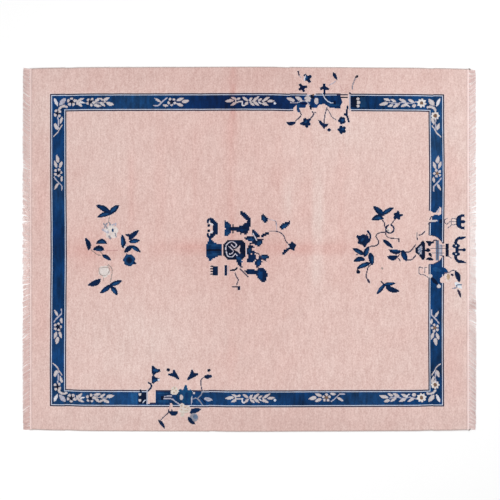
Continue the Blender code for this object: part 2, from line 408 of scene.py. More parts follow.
def centre_group(c):
    c.step = 2
    # scrolled bowl, its back to the right
    fill(c, "ink", (-21.3, 10.4), (-21.3, 17.8), (-24, 20.2), (-26.6, 20.2), (-26.6, 8.2), (-24, 8.2))
    fill(c, "ground", (-24.9, 11.2), (-24.9, 17), (-27, 19.2), (-29.2, 19.2), (-29.2, 9), (-27, 9))
    y = 14.1
    for s in (1, -1):
        hook = ((-24.4, y + 5.6 * s), (-26, y + 6.2 * s), (-27.8, y + 5.4 * s), (-27.8, y + 4 * s))
        stem(c, "ink", 1.6, *hook)
        stem(c, "white", 1.1, (-26.8, y + 4 * s), (-24.9, y + 2.2 * s))
        leaf(c, "deep", -26.4, y + 3.6 * s, -24.4, y + 4.2 * s, 1.1)
        block(c, "deep", -28.4, y + 1.7 * s - 0.9, -26.7, y + 1.7 * s + 0.9)
    block(c, "ink", -27, 5.4, -25.2, 8.8)
    # bell-shaped pot
    vessel(
        c, "navy", -18.6, -0.6, -29.5, -0.6, (0, 4.3), (0.17, 4.1), (0.36, 4.9), (0.55, 6), (0.7, 7.7),
        (0.86, 5.6), (1, 3.2),
    )
    several(leaf, c, "blue", (-19.6, 2.4, -28.4, 3, 1.4), (-19.6, -3.4, -28.4, -4.2, 1.6))
    stem(c, "deep", 1.1, (-19.4, -0.7), (-28.4, -0.7))
    # spool, bead and neck
    vessel(c, "navy", -12.6, 13.8, -16.6, 13.8, (0, 2.6), (0.25, 3.9), (0.6, 5.1), (1, 5.3))
    several(leaf, c, "blue", (-13, 15.4, -16.2, 17, 1.4), (-13.4, 11.4, -16.2, 10.2, 1.4))
    leaf(c, "ground", -17, 13.8, -15.8, 13.8, 1)
    leaf(c, "deep", -11.1, 10.8, -11.1, 16.6, 2.2, 0, 0.5)
    # leaf mass and hook
    several(
        stem, c, "ink",
        (1.7, (-12.8, 13.6), (-8, 13.4)), (2.4, (-1.6, 14.6), (-0.6, 16.6), (-0.3, 19.6)),
    )
    fill(
        c, "ink", (-10.8, 14.4), (-8.1, 14.9), (-6.3, 16.4), (-5, 15.8), (-3.2, 17.6), (-1, 18.4),
        (0.7, 17.6), (0.4, 14.6), (-0.5, 11.8), (-2.4, 9.4), (-3.9, 10.8), (-5.8, 9.9), (-6.8, 12),
        (-8.7, 11.8), (-10.4, 12.8),
    )
    leaf(c, "navy", -6.6, 12.6, -2, 13, 1.8)
    leaf(c, "ink", 1.4, 18.6, -6.8, 26, 3.4, 0.1)
    # eight-sided jar with a pale scroll
    fill(
        c, "deep", (-14.2, -7.4), (-5.6, -7.4), (-2.4, -4.6), (-2.4, 3.6), (-5.4, 6.5), (-14.2, 6.5),
        (-17.3, 3.6), (-17.3, -4.4),
    )
    several(leaf, c, "ink", (-9.8, -3.8, -3, -4.8, 3.2), (-12.6, 5.8, -4.6, 4.6, 1.6))
    c.step = 1
    several(
        stem, c, "light",
        (0.6, (-15.9, -0.4), (-15.5, 2.6), (-13.4, 4.7), (-10.8, 4.9), (-8.9, 3.5), (-9.2, 1.7),
         (-10.6, 1.5), (-12.2, 3.2)),
        (0.6, (-15.6, -1.2), (-14.9, -4.1), (-12.7, -5.2), (-10.7, -4.5), (-9.4, -3.1), (-8.4, -4.1)),
        (0.5, (-13.8, 1.9), (-11.9, 0.3), (-10.9, -1.4), (-12.1, -3), (-13.6, -3.1)),
    )
    fill(c, "cream", (-10.6, -0.3), (-8, 0.9), (-6.1, 2.9), (-6.6, -0.3), (-6.1, -3.4), (-8, -1.5))
    c.step = 2
    leaf(c, "blue", -9, -4.6, -4.2, -9.4, 2)
    stem(c, "light", 0.5, (-1.9, 2), (-1.9, -3.8))
    # comb, bar and twigs
    several(block, c, "ink", (-25, -17.4, -21.2, -11.1), (-16.8, -17.6, -15, -10.7))
    for y in (-16.9, -15.1, -13.3, -11.6):
        stem(c, "deep", 0.8, (-24.6, y), (-25.9, y))
    stem(c, "deep", 1.2, (-12.6, -14.2), (-9.6, -13.8), (-8.4, -12.4))
    stem(c, "mist", 0.5, (-14.3, -16.6), (-14.3, -11.4))
    several(
        stem, c, "stem",
        (0.9, (-6.4, -13.2), (-3.8, -15.8), (-1, -18.4)),
        (0.8, (-9.6, -16), (-8.7, -18.4), (-7.6, -20.6), (-8.6, -24)),
    )
    stem(c, "outline", 1, (-11.2, -25.1), (-6.8, -25.2))
    leaf(c, "ink", -6.8, -24.4, -7.2, -28.2, 1.5)
    field_leaves(
        c,
        (6.8, 8.2, 1.6, 13.4, 3.2, 0.3), (5.4, 6.4, -3.4, 7.4, 3.6, -0.2), (3.4, 3.4, 9.2, 5.4, 4.6, 0.1),
        (5.4, 4.4, 0.2, 3.8, 1.8, 0), (-0.6, -4.2, 0.4, 3.2, 3, 0), (-0.8, 1.9, 3.8, 1.3, 2.2, 0),
        (0.2, -1.6, 4.4, -2, 1.8, 0), (4.2, -3.4, -1.8, -8.8, 4.6, 0.1), (6.2, -4.6, 13.8, -4.4, 3.3, -0.6),
        (6.6, -5.6, 5, -12.4, 4.2, 0.1), (7.4, 8.6, 13.6, 11.1, 2, 0), (5.2, -14.8, -3.2, -14.6, 3.6, 0.3),
        (6.6, -12.2, 9.8, -22.6, 6.6, 0.1), (11.8, 18, 8.6, 23.8, 3.6, 0.2),
        (20, 14.4, 27.2, 18.2, 3.7, -0.1), (25.4, 16.2, 27.4, 20, 1.5, 0), (26.6, 1, 21.6, -3.8, 2.3, 0),
        (-8.6, -6.4, -5, -12.8, 2.3, 0.2),
        step=2,
    )
    block(c, "ink", 10.6, 20, 12.6, 21)
    star(c, "ink", 28.7, 2.2, 2.2, 9, (20, 3), (90, 3.2), (150, 3.2), (215, 3), (290, 3.4))
    disc(c, "white", 26.3, 2.1, 0.8)
    stem(c, "light", 0.7, (2.4, 10.6), (3.6, 8.6), (4.8, 6.2))
    stem(c, "ground", 0.8, (4.9, -3.6), (5.2, -6.4))
    several(
        stem, c, "outline",
        (0.8, (4.4, -2.4), (6.2, -3.2), (7.4, -5), (9.4, -7), (11.2, -7.8)),
        (0.8, (5.6, -11.6), (6.4, -13.4)), (0.8, (6.6, 6.8), (9.2, 6.6)),
    )
    stem(c, "mist", 0.5, (12.6, 20.3), (15.4, 19.6), (17.8, 18.8), (18.1, 16), (18.2, 12.8))
    several(
        stem, c, "stem",
        (0.8, (17.8, 18.8), (17.9, 17.4)),
        (0.8, (13.8, 12.2), (18, 12.1), (21, 11.1), (23.2, 9), (24.3, 6.2), (25.6, 4.4)),
    )


def left_group(c):
    several(
        stem, c, "twig",
        (0.6, (-94.2, 21.8), (-94.8, 18)),
        (0.6, (-106.6, -0.4), (-104.6, -2), (-102.6, -3.6), (-100, -4.2)),
        (0.6, (-101.6, -0.2), (-99, -3.2)),
        (0.6, (-95.4, -12), (-94.6, -10.6), (-92.4, -13.4), (-92.4, -16), (-93.4, -22)),
        (0.6, (-98, -17.4), (-98.2, -21)),
    )
    several(stem, c, "rose", (0.7, (-96, -0.9), (-88.6, -0.9)), (0.6, (-92, 9), (-88, 11), (-86, 9.6)))
    stem(c, "light", 0.5, (-93.8, -24.6), (-91.4, -25.8))
    stem(c, "outline", 0.8, (-82.6, -3.2), (-81.8, -5))
    field_leaves(
        c,
        (-93.4, 24.2, -103.2, 29.6, 3.6, -0.3), (-94, 23.4, -87.4, 29.8, 3.6, 0.2),
        (-92.4, 23.8, -102.4, 21.4, 3.1, -0.5), (-108.4, -1, -110.6, 7.8, 3.2, -0.7),
        (-95.6, 3.6, -103.4, 3.8, 3.2, -0.9), (-97.4, -0.9, -105.6, -0.6, 3.2, -0.9),
        (-99.2, -3.8, -93, -7.6, 2.6, 0.2), (-99.8, -20, -109, -24.2, 3.6, 0.5),
        (-94.2, -24.2, -85.4, -21.2, 3, -0.1), (-93, -23.8, -100.6, -29.8, 3, 0.2),
        (-93.2, -25, -88.6, -31.2, 3.2, 0.2), (-81.2, 6.2, -74.2, 12.8, 3.1, 0.2),
        (-78.4, 9, -83.6, 9.8, 1.9, 0), (-85, 0.4, -85.6, 10, 3.2, -0.3), (-81, 5, -73.4, 6, 2.9, 0),
        (-78.8, 2.6, -84.2, -2.4, 3.2, 0), (-79.8, 2.2, -73.2, -2, 2.8, 0.2),
    )
    disc(c, "white", -83.4, 1.6, 0.8)
    blossom(c, "navy", -80.8, -7.4, 4.2, 7, 0.16, 20)
    blossom(c, "blue", -80.8, -7.4, 3.6, 7, 0.16, 20)
    disc(c, "ink", -80.8, -7.4, 2.2)
    disc(c, "deep", -80.8, -7.4, 1.2)
    leaf(c, "ink", -78.4, -8.8, -75.8, -9.8, 1.5)
    # pale flower with grey strokes
    blossom(c, "ivory", -92.8, 11.8, 4.9, 5, 0.3, 20)
    several(
        stem, c, "grey",
        (1, (-98, 17.2), (-95.6, 14.2)), (1, (-95.8, 17.4), (-97.6, 14.6)),
        (1.2, (-94, 17.8), (-93.6, 16.4)), (1.4, (-94.2, 8.8), (-93.4, 7.4)),
        (0.9, (-90.2, 10.8), (-89.6, 8.4)),
    )
    several(
        stem, c, "mist",
        (1.6, (-98.6, 13.2), (-95.2, 11.6)), (0.9, (-92, 16.4), (-89.8, 17.2), (-90, 15.8)),
    )
    stem(c, "white", 1, (-97.2, 13), (-96, 12.2))
    stem(c, "teal", 1.2, (-91.8, 13.4), (-91.8, 12))
    # cream flower in a thin outline
    blossom(c, "ivory", -97.6, -15, 4.1, 5, 0.25, 60)
    stem(
        c, "twig", 0.5, (-101.2, -12.8), (-100.6, -16.4), (-98, -18), (-95.2, -16.4), (-94, -13.2),
        (-96.4, -12.2), (-100.8, -12.8),
    )


def right_group(c):
    several(
        stem, c, "outline",
        (0.805, (88.6, 21.6), (89.5, 19.5), (90.6, 18), (91, 15.5), (92.2, 14.3)),
        (0.69, (95.2, 17), (96.4, 18.4), (97.8, 20.2), (98.8, 21.4)),
        (0.805, (91.8, 12.2), (90.5, 11.4), (88, 11.3), (86, 10.4), (85.2, 8.8), (86, 7), (87, 5.4),
         (86.4, 3.4), (84.6, 2.4), (82, 2.1), (79.5, 1)),
        (0.69, (91.4, 11.6), (92, 9.4), (93.6, 8), (96, 7.5), (99.2, 7.3), (100.4, 7)),
        (0.69, (100.4, 7.4), (100.4, 5)),
        (0.805, (81.6, -10.4), (79.6, -12.4), (79, -15), (78.4, -18), (79.4, -20.4)),
        (1.035, (73, -12), (72.8, -14.4)),
        (0.69, (98.4, -6.2), (101, -3.4)),
        (0.69, (100, -6), (101.4, -7.6)),
        (0.805, (104, -1.8), (107, -1.8), (109, -0.4), (110.6, 1.6), (111.8, 3.2)),
        (0.805, (105.4, -7.2), (109, -6.8), (111, -5), (112.4, -3.6)),
        (0.805, (88.6, -21.8), (90.2, -23.4)),
        (0.69, (112.6, 11), (112.6, 8.6), (113, 6.4)),
        (0.805, (114, 9.8), (115.4, 10), (116.6, 10.8), (117.8, 12)),
    )
    # ring flower
    ring = [math.radians(a) for a in range(110, 435, 20)]
    stem(c, "ink", 1.1, *[(94.4 + 2.7 * math.cos(a), 13.8 + 2.7 * math.sin(a)) for a in ring])
    stem(c, "ink", 1.4, (79.6, 12.2), (81, 10.2), (81.2, 7.6), (79.8, 5.4))
    disc(c, "ivory", 93.6, 13.3, 1.3)
    disc(c, "tan", 93.2, 13, 0.5)
    several(
        star, c, "ink",
        (99.4, 22.8, 2, 14, (8, 3.7), (80, 3.4), (145, 2.8), (215, 3.2), (300, 3.1)),
        (76.8, 6.4, 3.5, 14, (95, 3.8), (150, 5.4), (212, 4.6), (280, 5), (350, 4.6), (35, 4)),
    )
    leaf(c, "blue", 75, 5.2, 77.4, 7.8, 1.6)
    stem(c, "outline", 0.7, (78.4, 9.2), (79.4, 10.4))
    field_leaves(
        c,
        (90.8, 22.6, 83.2, 29.2, 3.6, 0), (89.4, 23.2, 97.2, 28.2, 2.9, 0.3),
        (90.4, 20.6, 82, 19.8, 3.6, -0.7), (89.6, 6.6, 96.6, 0.8, 2.6, 0.1),
        (77.2, -5.2, 80.2, 2.2, 3.3, 0.1), (77.2, -4, 69.2, 0.8, 3, -0.2),
        (78, -7.4, 69.8, -8.4, 3.2, -0.8), (81, -2, 82.6, -10.8, 3.6, 0.1),
        (81.6, -9.4, 72, -13.4, 3, -0.4), (79.2, -19.8, 81, -23, 1.4, 0, "outline"),
        (102.2, -1, 93.6, -0.2, 3, 0.7), (99.4, -4.4, 92.4, -4.6, 3.4, 0.7),
        (102.6, -0.2, 105.8, -8, 3.6, -0.1), (89.8, -24.2, 98.2, -22.8, 2.6, 0.1),
        (91.2, -23, 85.4, -30.4, 2.6, 0.1), (91.4, -24.6, 101.2, -28.2, 3.4, -0.5),
    )
    leaf(c, "teal", 82.4, -4.4, 82.8, -9.6, 1)
    disc(c, "deep", 73.1, -15.2, 1.4)
    disc(c, "stem", 72.2, -3.7, 0.8, 0.6)
    disc(c, "twig", 89.2, -12.8, 0.8)


def vase_group(c):
    # round vase breaking through the band
    disc(c, "ground", 121.2, -0.3, 10)
    several(block, c, "ground", (118.8, -10.2, 121.2, 9.6), (128, -4.4, 133.8, 3.8))
    for s in (1, -1):
        arc = [math.radians(a) for a in (92, 75, 58, 42, 27)]
        stem(c, "outline", 0.5, *[(121.2 + 9.8 * math.cos(a), -0.3 + 9.8 * s * math.sin(a)) for a in arc])
    block(c, "slate", 125.3, -7.4, 127.3, 6)
    stem(c, "stem", 0.6, (126.3, -6.4), (126.3, 5))
    block(c, "mist", 127.6, -4.6, 129.2, 3.6)
    stem(c, "slate", 0.5, (129.2, 2.8), (129.2, -3.6))
    scores = ((122, 131.4, 0.7), (123, 131, -0.9), (122.6, 130.6, -2.4))
    scores += ((128.4, 131, 2.4), (128.4, 130.6, -4.2))
    for x0, x1, y in scores:
        stem(c, "stem", 0.4, (x0, y), (x1, y))
    block(c, "deep", 131.7, -4.9, 134.1, 4)
    stem(c, "outline", 0.8, (122.6, 4.4), (124.4, 6.2), (126.6, 5.9))
    several(
        leaf, c, "deep",
        (118.4, 5.6, 124.4, 4.6, 2.2, -0.4), (120.6, -2, 122.6, -5.2, 2),
        (118.6, -6.8, 124.2, -7.2, 2.2, 0.6),
    )
    disc(c, "deep", 121, 3.2, 1.1)
    # foot bowl
    vessel(
        c, "deep", 111.7, -0.6, 118.2, -0.6, (0, 1.8), (0.2, 2.6), (0.45, 4.4), (0.7, 6.5), (0.86, 6.1),
        (1, 4.6),
    )
    vessel(c, "slate", 113.1, -0.6, 116.1, -0.6, (0, 1.3), (0.5, 2.3), (1, 3.2))
    for x, y in ((115.2, 2), (114.2, 0.6), (115.6, 0), (114, -1.2), (115.4, -1.8), (114.8, -3), (115.6, 1.2)):
        stem(c, "mist", 0.5, (x - 0.5, y - 0.4), (x + 0.5, y + 0.4))
    stem(c, "deep", 1.4, (118, -0.5), (119.6, -0.5))
    leaf(c, "deep", 118.6, -0.5, 122, -0.5, 2.9, 0, 0.35)
    # above the vase: notch, dome and oval
    fill(
        c, "ground", (119, 26.4), (121.7, 26), (123.3, 24.8), (124.9, 24.8), (126.4, 26.6), (127.6, 28.9),
        (128.5, 28.2), (128.5, 23.8), (126.8, 23.1), (123.7, 22.8), (120, 22.8),
    )
    leaf(c, "mist", 126, 24.2, 127.8, 28.4, 1.3)
    vessel(c, "navy", 125.2, 19.8, 125.2, 23.6, (0, 4.2), (0.5, 3.4), (1, 0.8))
    block(c, "ground", 119.4, 18.4, 122.6, 23)
    several(stem, c, "outline", (0.7, (122.2, 22.4), (121.2, 20.4)), (0.8, (120.2, 17.4), (121.6, 18.4)))
    leaf(c, "cream", 120.8, 19.2, 127, 19.4, 1.3)
    block(c, "deep", 127.2, 17.6, 129.3, 20.6)
    # right of the neck
    stem(c, "mist", 0.6, (133.8, 0.2), (136.8, 0.2))
    stem(c, "stem", 0.5, (133.4, -4.2), (135.6, -5.8))
    y = -0.3
    for s in (1, -1):
        points = ((139.6, 0), (139.4, 2.8), (138.6, 5), (139.6, 7), (141.2, 8.2))
        stem(c, "ink", 2, *[(x, y + out * s) for x, out in points])
        leaf(c, "ink", 139.8, y + 7.2 * s, 145.8, y + 8.8 * s, 2)
        disc(c, "ink", 137.8, y + 2.6 * s, 1.5, 0.9)
        disc(c, "ink", 140.4, y + 2.8 * s, 1.2)
        disc(c, "white", 138.8, y + 2.9 * s, 0.5)
    stem(c, "ink", 1.6, (139.4, -0.3), (143.4, -0.3))
    disc(c, "ink", 144.2, -0.3, 1.2)
    # bowl with scrolled feet
    vessel(c, "ink", 138.9, 18.8, 144.4, 18.8, (0, 2.4), (0.25, 4), (0.6, 5), (1, 5.3))
    leaf(c, "navy", 139.6, 18.8, 142, 18.8, 5)
    y = 18.8
    for s in (1, -1):
        fill(c, "ground", (142.2, y + 1.2 * s), (145, y + 1.2 * s), (145, y + 2.8 * s), (142.8, y + 3.6 * s))
    leaf(c, "ink", 141.6, 18.8, 145.4, 18.8, 2.2)
    several(
        stem, c, "stem",
        (0.5, (134.4, 18.9), (138.6, 18.9)),
        (0.5, (134.2, 18.4), (132.6, 17.2), (131.2, 18.2), (131.4, 20.2), (132.8, 21.2)),
        (0.5, (138.6, 20.8), (136, 20.9), (135.8, 17), (138.6, 16.9)),
        (0.5, (136.4, 16.8), (134.6, 15.6), (133.2, 14.6)),
    )
    # below the vase: bulge, bite and notch
    leaf(c, "navy", 127, -12.4, 133.8, -15.6, 4.8, -0.2)
    bite = smooth(((131.6, -17.4), (129.2, -18.6), (128.2, -20.6), (128.8, -22.6), (131.6, -22.8)))
    fill(c, "ground", *bite)
    disc(c, "cream", 121.6, -18, 1.5, 0.9)
    block(c, "ground", 119, -18.4, 120.8, -17.2)
    leaf(c, "deep", 122.4, -18.6, 127.2, -24.2, 2.6, -0.3)
    disc(c, "cream", 127.4, -24.9, 1.3)
    leaf(c, "blue", 123, -13, 129, -14.4, 3)
    several(
        stem, c, "stem",
        (0.5, (119.4, -12.3), (117.8, -12.2), (118, -14.4), (117.4, -15.8)),
        (0.5, (116.4, -12.5), (114.2, -12), (114, -14.2), (114.4, -16.6), (117.4, -17.2), (120, -18.8)),
    )
    # flower and leaf outside
    disc(c, "edge", 133.8, -19.2, 2.4, 1.2)
    leaf(c, "sand", 133.6, -16.4, 133.8, -20.8, 2.5)
    stem(c, "stem", 0.6, (131, -16), (134, -15.6), (136.4, -14.2), (139.2, -14.6))
    several(leaf, c, "outline", (135.2, -16.6, 137.6, -17.8, 1.6), (140, -26.8, 142.2, -33, 1.9, 0.2))
    leaf(c, "ink", 138, -14.6, 141.2, -22.4, 3.6, 0.4)
    leaf(c, "white", 137.8, -22.2, 143, -26.4, 3)
    stem(c, "slate", 0.8, (136.8, -26.4), (138.8, -26), (139.6, -24.2), (142.6, -23.8))


def top_group(c):
    # the band's lower edge opens over the group
    fill(
        c, "ground", (29.6, 93), (29.6, 95.2), (31.6, 97.2), (34, 95.2), (37.6, 95.4), (38.6, 98.2),
        (41.6, 95.4), (45.4, 95.4), (46.6, 97.4), (50.2, 97.9), (54.4, 95.2), (61.8, 94.8), (68.2, 94.8),
        (68.2, 93),
    )
    block(c, "ground", 61.4, 94.6, 67.2, 104.9)
    leaf(c, "navy", 57.4, 99.4, 62.6, 99.2, 8.2, 0, 0.4)
    block(c, "deep", 61, 102.1, 66, 102.9)
    block(c, "outline", 58.6, 103.9, 66.2, 104.7)
    stem(c, "mist", 0.9, (67.5, 104.6), (67.6, 99), (67.4, 94))
    disc(c, "outline", 67.5, 105.2, 0.7)
    # scallop
    block(c, "deep", 68.2, 95.6, 72.4, 102.9)
    several(disc, c, "cream", (73, 101.4, 1), (73, 96.6, 1), (73.2, 99, 1.2))
    several(disc, c, "deep", (71.2, 101.2, 0.8), (71.4, 98.8, 0.8), (71.4, 96.2, 0.8))
    block(c, "blue", 74.4, 95.6, 78, 102.9, "navy")
    # band flowers
    leaf(c, "cream", 30.6, 99.6, 24.8, 102.4, 2.2)
    stem(c, "mist", 0.6, (27.6, 98.8), (31.6, 98.6), (35.4, 99.8), (38.4, 99.6), (41.2, 95.8))
    leaf(c, "ink", 34, 98.4, 39.4, 98, 1.6)
    leaf(c, "cream", 30.8, 102.8, 36, 99.8, 2.3)
    blossom(c, "cream", 39.3, 101.4, 2.4, 5, 0.35, 20)
    disc(c, "cream", 45, 99.9, 1.4, 1.6)
    leaf(c, "deep", 40.8, 104, 43.8, 101.4, 2.4)
    block(c, "ground", 38.8, 103.2, 44.6, 104.9, "outline")
    disc(c, "tan", 43, 104, 0.6)
    stem(c, "light", 0.6, (49.2, 105), (50.4, 102.4), (52, 100.2), (54.6, 98.8), (56.2, 98.6))
    stem(c, "deep", 0.6, (49.6, 105), (51.4, 102), (52.6, 100.6))
    block(c, "deep", 56.4, 97.4, 58, 100.3)
    block(c, "blue", 53, 96.4, 60.6, 98, "navy")
    # twigs into the field
    stem(c, "blue", 2, (33, 97.4), (32.6, 94.8), (33.4, 93))
    several(
        stem, c, "outline",
        (0.8, (33.4, 93.4), (34.6, 91.4), (34.4, 89.6), (32.8, 88), (31, 86.4)),
        (0.9, (42.2, 92.6), (43.2, 91), (41.4, 88.4), (39.8, 86.6)),
    )
    several(
        leaf, c, "ink",
        (24.8, 85.8, 31.4, 85.6, 2.8, -0.7, 0.5, 0.6), (50.2, 82.6, 46.4, 87.2, 2.4),
        (49.4, 82.6, 53.2, 84.6, 2.2),
    )
    stem(c, "deep", 1.2, (40.8, 96.4), (41.4, 94.4))
    disc(c, "stem", 44.2, 92.1, 0.6)
    star(c, "ink", 38.2, 85.3, 2.2, 16, (42, 3.6), (112, 3.4), (194, 4.2), (282, 3.7), (335, 3.2))
    leaf(c, "blue", 37.2, 85, 39, 86.8, 1.4)
    several(
        stem, c, "stem",
        (0.8, (50.2, 84.6), (50.6, 89.4), (52, 95.4)),
        (0.6, (52, 95), (54, 92), (55.4, 89.2), (58.2, 87.2)),
    )
    leaf(c, "ink", 50, 85, 50.2, 81, 2.2)
    several(disc, c, "ink", (53.6, 80.4, 1.4, 0.7), (64.3, 91, 0.9))
    several(blossom, c, "ink", (62.2, 86.8, 2.7, 5, 0.3, 40), (62.2, 80.6, 3, 5, 0.4, 36))
    several(disc, c, "blue", (62.6, 87, 0.9), (62.8, 80.9, 0.9))
    stem(c, "ink", 1.3, (65.9, 96.2), (65.4, 91), (66.2, 88.4), (66.8, 86))
    # above the band
    stem(c, "outline", 1, (32.8, 119.8), (33.4, 117.2))
    several(
        stem, c, "mist",
        (0.5, (33.6, 117), (34.6, 115.6)), (0.6, (58, 113.2), (55.4, 111.4), (53, 110.4)),
    )
    several(
        star, c, "ink",
        (39, 115.2, 1.7, 20, (35, 3.3), (128, 3.4), (208, 2.7), (300, 3.6)),
        (35.7, 108.9, 1.5, 18, (14, 3.4), (130, 3.3), (212, 3), (290, 3.2)),
        (50.3, 108.9, 1.4, 16, (92, 3), (196, 3), (340, 3.6)),
    )
    stem(c, "light", 0.7, (37, 113.6), (37.2, 115.2), (37.8, 117))
    leaf(c, "blue", 38.4, 114.2, 38.6, 117.2, 1.3)
    leaf(c, "ink", 56, 119.4, 59, 114, 2.3)
    stem(c, "ink", 1.2, (50.2, 108), (50.6, 104.8))
    stem(c, "rose", 0.6, (61, 110.4), (61.6, 108.8), (63, 107))
    stem(c, "grey", 0.7, (69.2, 108), (69.4, 110.6), (70.6, 114), (71.6, 115.8))
    leaf(c, "deep", 71.2, 115.6, 73.4, 117.6, 1.7)


def bottom_group(c):
    # gap and comb end at the left
    block(c, "deep", -74.6, -104, -69.4, -96.4)
    leaf(c, "deep", -72.6, -96.6, -73.4, -94.2, 1.4)
    several(disc, c, "cream", (-73.6, -97.8, 1), (-73.6, -101.8, 1))
    disc(c, "deep", -73.2, -99.8, 1.1)
    block(c, "blue", -80, -104.2, -75.2, -96.6, "navy")
    stem(c, "light", 0.5, (-71.8, -103.6), (-70, -101.6))
    block(c, "mist", -69.2, -104.6, -68.3, -94.6)
    block(c, "ground", -68.2, -104, -62.9, -94.4)
    block(c, "outline", -67.2, -104.3, -62.8, -103.4)
    # navy block with line work
    block(c, "navy", -62.9, -104.2, -53, -95.8)
    several(block, c, "blue", (-61.6, -97.6, -54.8, -96.6), (-61.6, -103.4, -54, -101.6))
    block(c, "deep", -59.5, -101.6, -57.3, -98.8)
    several(
        stem, c, "mist",
        (0.7, (-57.2, -99.2), (-54.4, -98.8), (-52.2, -98.8)),
        (0.8, (-57.4, -100.7), (-52.4, -100.8), (-49.4, -102.8), (-46.6, -104.8)),
    )
    stem(c, "outline", 0.6, (-57.2, -99.9), (-52, -99.8))
    fill(
        c, "bone", (-52.4, -93.4), (-50.4, -92.2), (-48.6, -93.6), (-47.6, -95.4), (-48.4, -97.6),
        (-50.8, -98.2), (-53, -97.2),
    )
    for x, y in ((-51.6, -94.6), (-50.2, -93.6), (-49.4, -95.4), (-50.8, -96.6)):
        disc(c, "sand", x, y, 0.45)
    # big navy flower with a cream heart
    star(
        c, "teal", -43.4, -98.8, 4.2, 16, (84, 7.4), (130, 5.6), (172, 5), (215, 5), (262, 6), (304, 6),
        (40, 6), (352, 4.8),
    )
    leaf(c, "navy", -42.4, -95.6, -41.8, -102.6, 2)
    leaf(c, "blue", -46.4, -95.8, -43.6, -97.4, 1.6)
    disc(c, "cream", -45.7, -99.8, 1.1, 1.7)
    fill(
        c, "bone", (-46.8, -104.4), (-45, -103.4), (-43.6, -104.8), (-40.2, -105.4), (-39.8, -108),
        (-41.2, -110), (-43.4, -110.4), (-44.4, -113), (-46.4, -112.2), (-45.6, -110.2), (-47.8, -109),
        (-46.4, -107),
    )
    for x, y in (
        (-45.4, -105.4), (-43.2, -106.4), (-41.4, -107), (-45.6, -108),
        (-43.2, -108.8), (-45.2, -110.8), (-41.8, -108.8),
    ):
        disc(c, "sand", x, y, 0.45)
    stem(c, "mist", 0.7, (-38.6, -99), (-39, -104.4))
    block(c, "navy", -38, -104.2, -32, -95.8)
    block(c, "cream", -37.8, -97.6, -36.6, -96.2)
    several(
        stem, c, "grey",
        (0.7, (-37.8, -100.8), (-35.8, -100.2), (-33.8, -101.6), (-31.6, -104.6)),
        (0.7, (-34.8, -100.4), (-32.6, -98), (-31.2, -95.2)),
    )
    leaf(c, "blue", -36.2, -102.2, -33.6, -103.8, 1.6)
    leaf(c, "mist", -30.6, -100.2, -24.8, -101.8, 2.4)
    leaf(c, "grey", -29.6, -100.5, -26, -101.5, 1.1)
    stem(c, "deep", 0.8, (-32.6, -100), (-29.6, -103))
    fill(c, "ground", (-53.4, -103.6), (-52, -103.6), (-51.4, -106.4), (-53.6, -106.4))
    stem(c, "rose", 0.7, (-52.6, -104), (-53.4, -106.2), (-54, -108.6))
    # towards the field
    several(
        star, c, "ink",
        (-63.6, -82, 1.9, 16, (116, 3.9), (6, 3.9), (248, 3.2)),
        (-63.8, -87.8, 1.8, 16, (116, 3), (0, 3.4), (240, 3)),
        (-50.4, -84.4, 1.7, 12, (96, 3.2), (180, 4.2), (314, 4.6)),
        (-38.2, -84.6, 1.9, 12, (96, 3.4), (8, 4), (224, 5)),
    )
    several(leaf, c, "blue", (-65, -81.2, -61.2, -82, 1.8), (-65.2, -89, -62, -87.8, 1.8))
    leaf(c, "light", -61.9, -87.6, -60.3, -88.4, 1.6)
    stem(c, "ink", 1.1, (-68, -89.8), (-66.2, -91), (-65.9, -92.8), (-67, -94.2), (-68, -95.4))
    several(disc, c, "deep", (-54.6, -81.2, 1.2), (-27.2, -81.6, 1.1))
    leaf(c, "ink", -30.6, -85.9, -24.8, -85.6, 2.8, 0, 0.45, 0.6)
    stem(c, "stem", 0.8, (-30.8, -86.2), (-32.4, -87.8), (-32.5, -90.4), (-32.3, -93.2), (-31.8, -94.8))
    # outside the band
    disc(c, "outline", -38.5, -107.8, 0.7)
    leaf(c, "ink", -40.2, -110.4, -32.2, -107.4, 3.4, 0.2)
    disc(c, "grey", -37.2, -113.2, 2.9)
    disc(c, "slate", -36.4, -112.8, 1.5)
    several(
        leaf, c, "ink",
        (-41, -112.4, -36, -118, 2.8, -0.7), (-53.6, -110.6, -54.6, -107.8, 1.3),
        (-51.8, -110, -52.2, -107.8, 1.2), (-61.4, -114.8, -56.8, -121, 2.4, 0.3),
    )
    vessel(c, "ink", -51, -111.9, -51, -108.8, (0, 1.6), (0.5, 2.9), (1, 2.8))
    stem(c, "stem", 0.8, (-54.4, -110.2), (-57, -112.4), (-59.4, -114.8))


def draw(c):
    band(c)
    border_sprays(c)
    centre_group(c)
    left_group(c)
    right_group(c)
    vase_group(c)
    top_group(c)
    bottom_group(c)


def painted_edge_highlight(c):
    """Painted highlight: ground knots beside dark motifs get the paler edge wool, standing in for the light
    that the clipped pile's edge catches.
    """
    dark = np.isin(c.wool, DARK_WOOLS)
    beside = np.zeros(dark.shape, bool)
    beside[1:] |= dark[:-1]
    beside[:-1] |= dark[1:]
    beside[:, 1:] |= dark[:, :-1]
    beside[:, :-1] |= dark[:, 1:]
    c.wool[beside & (c.wool == WOOL["ground"])] = WOOL["edge"]


# ---------------------------------------------------------------- the carpet's plan

TOP = 0.0116  # the pile's tips, a little under the CAD slab's top so that its swells stay inside it
SWELL = 0.0003  # how far the top rises and falls over the carpet
RAGGED = 0.00015  # and from knot to knot
CARVING = 0.0012  # how deep the pile is clipped along the motifs
RIM_DROP = 0.0022  # how far the outermost knots lean down
RIM_SHADE = 0.88  # and how much darker they are painted, as their shade
BACK = 0.0012  # where the knots sit on the foundation
pile_low, pile_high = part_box("pile")
LENGTH = pile_high.x - pile_low.x
CORNER = 0.010


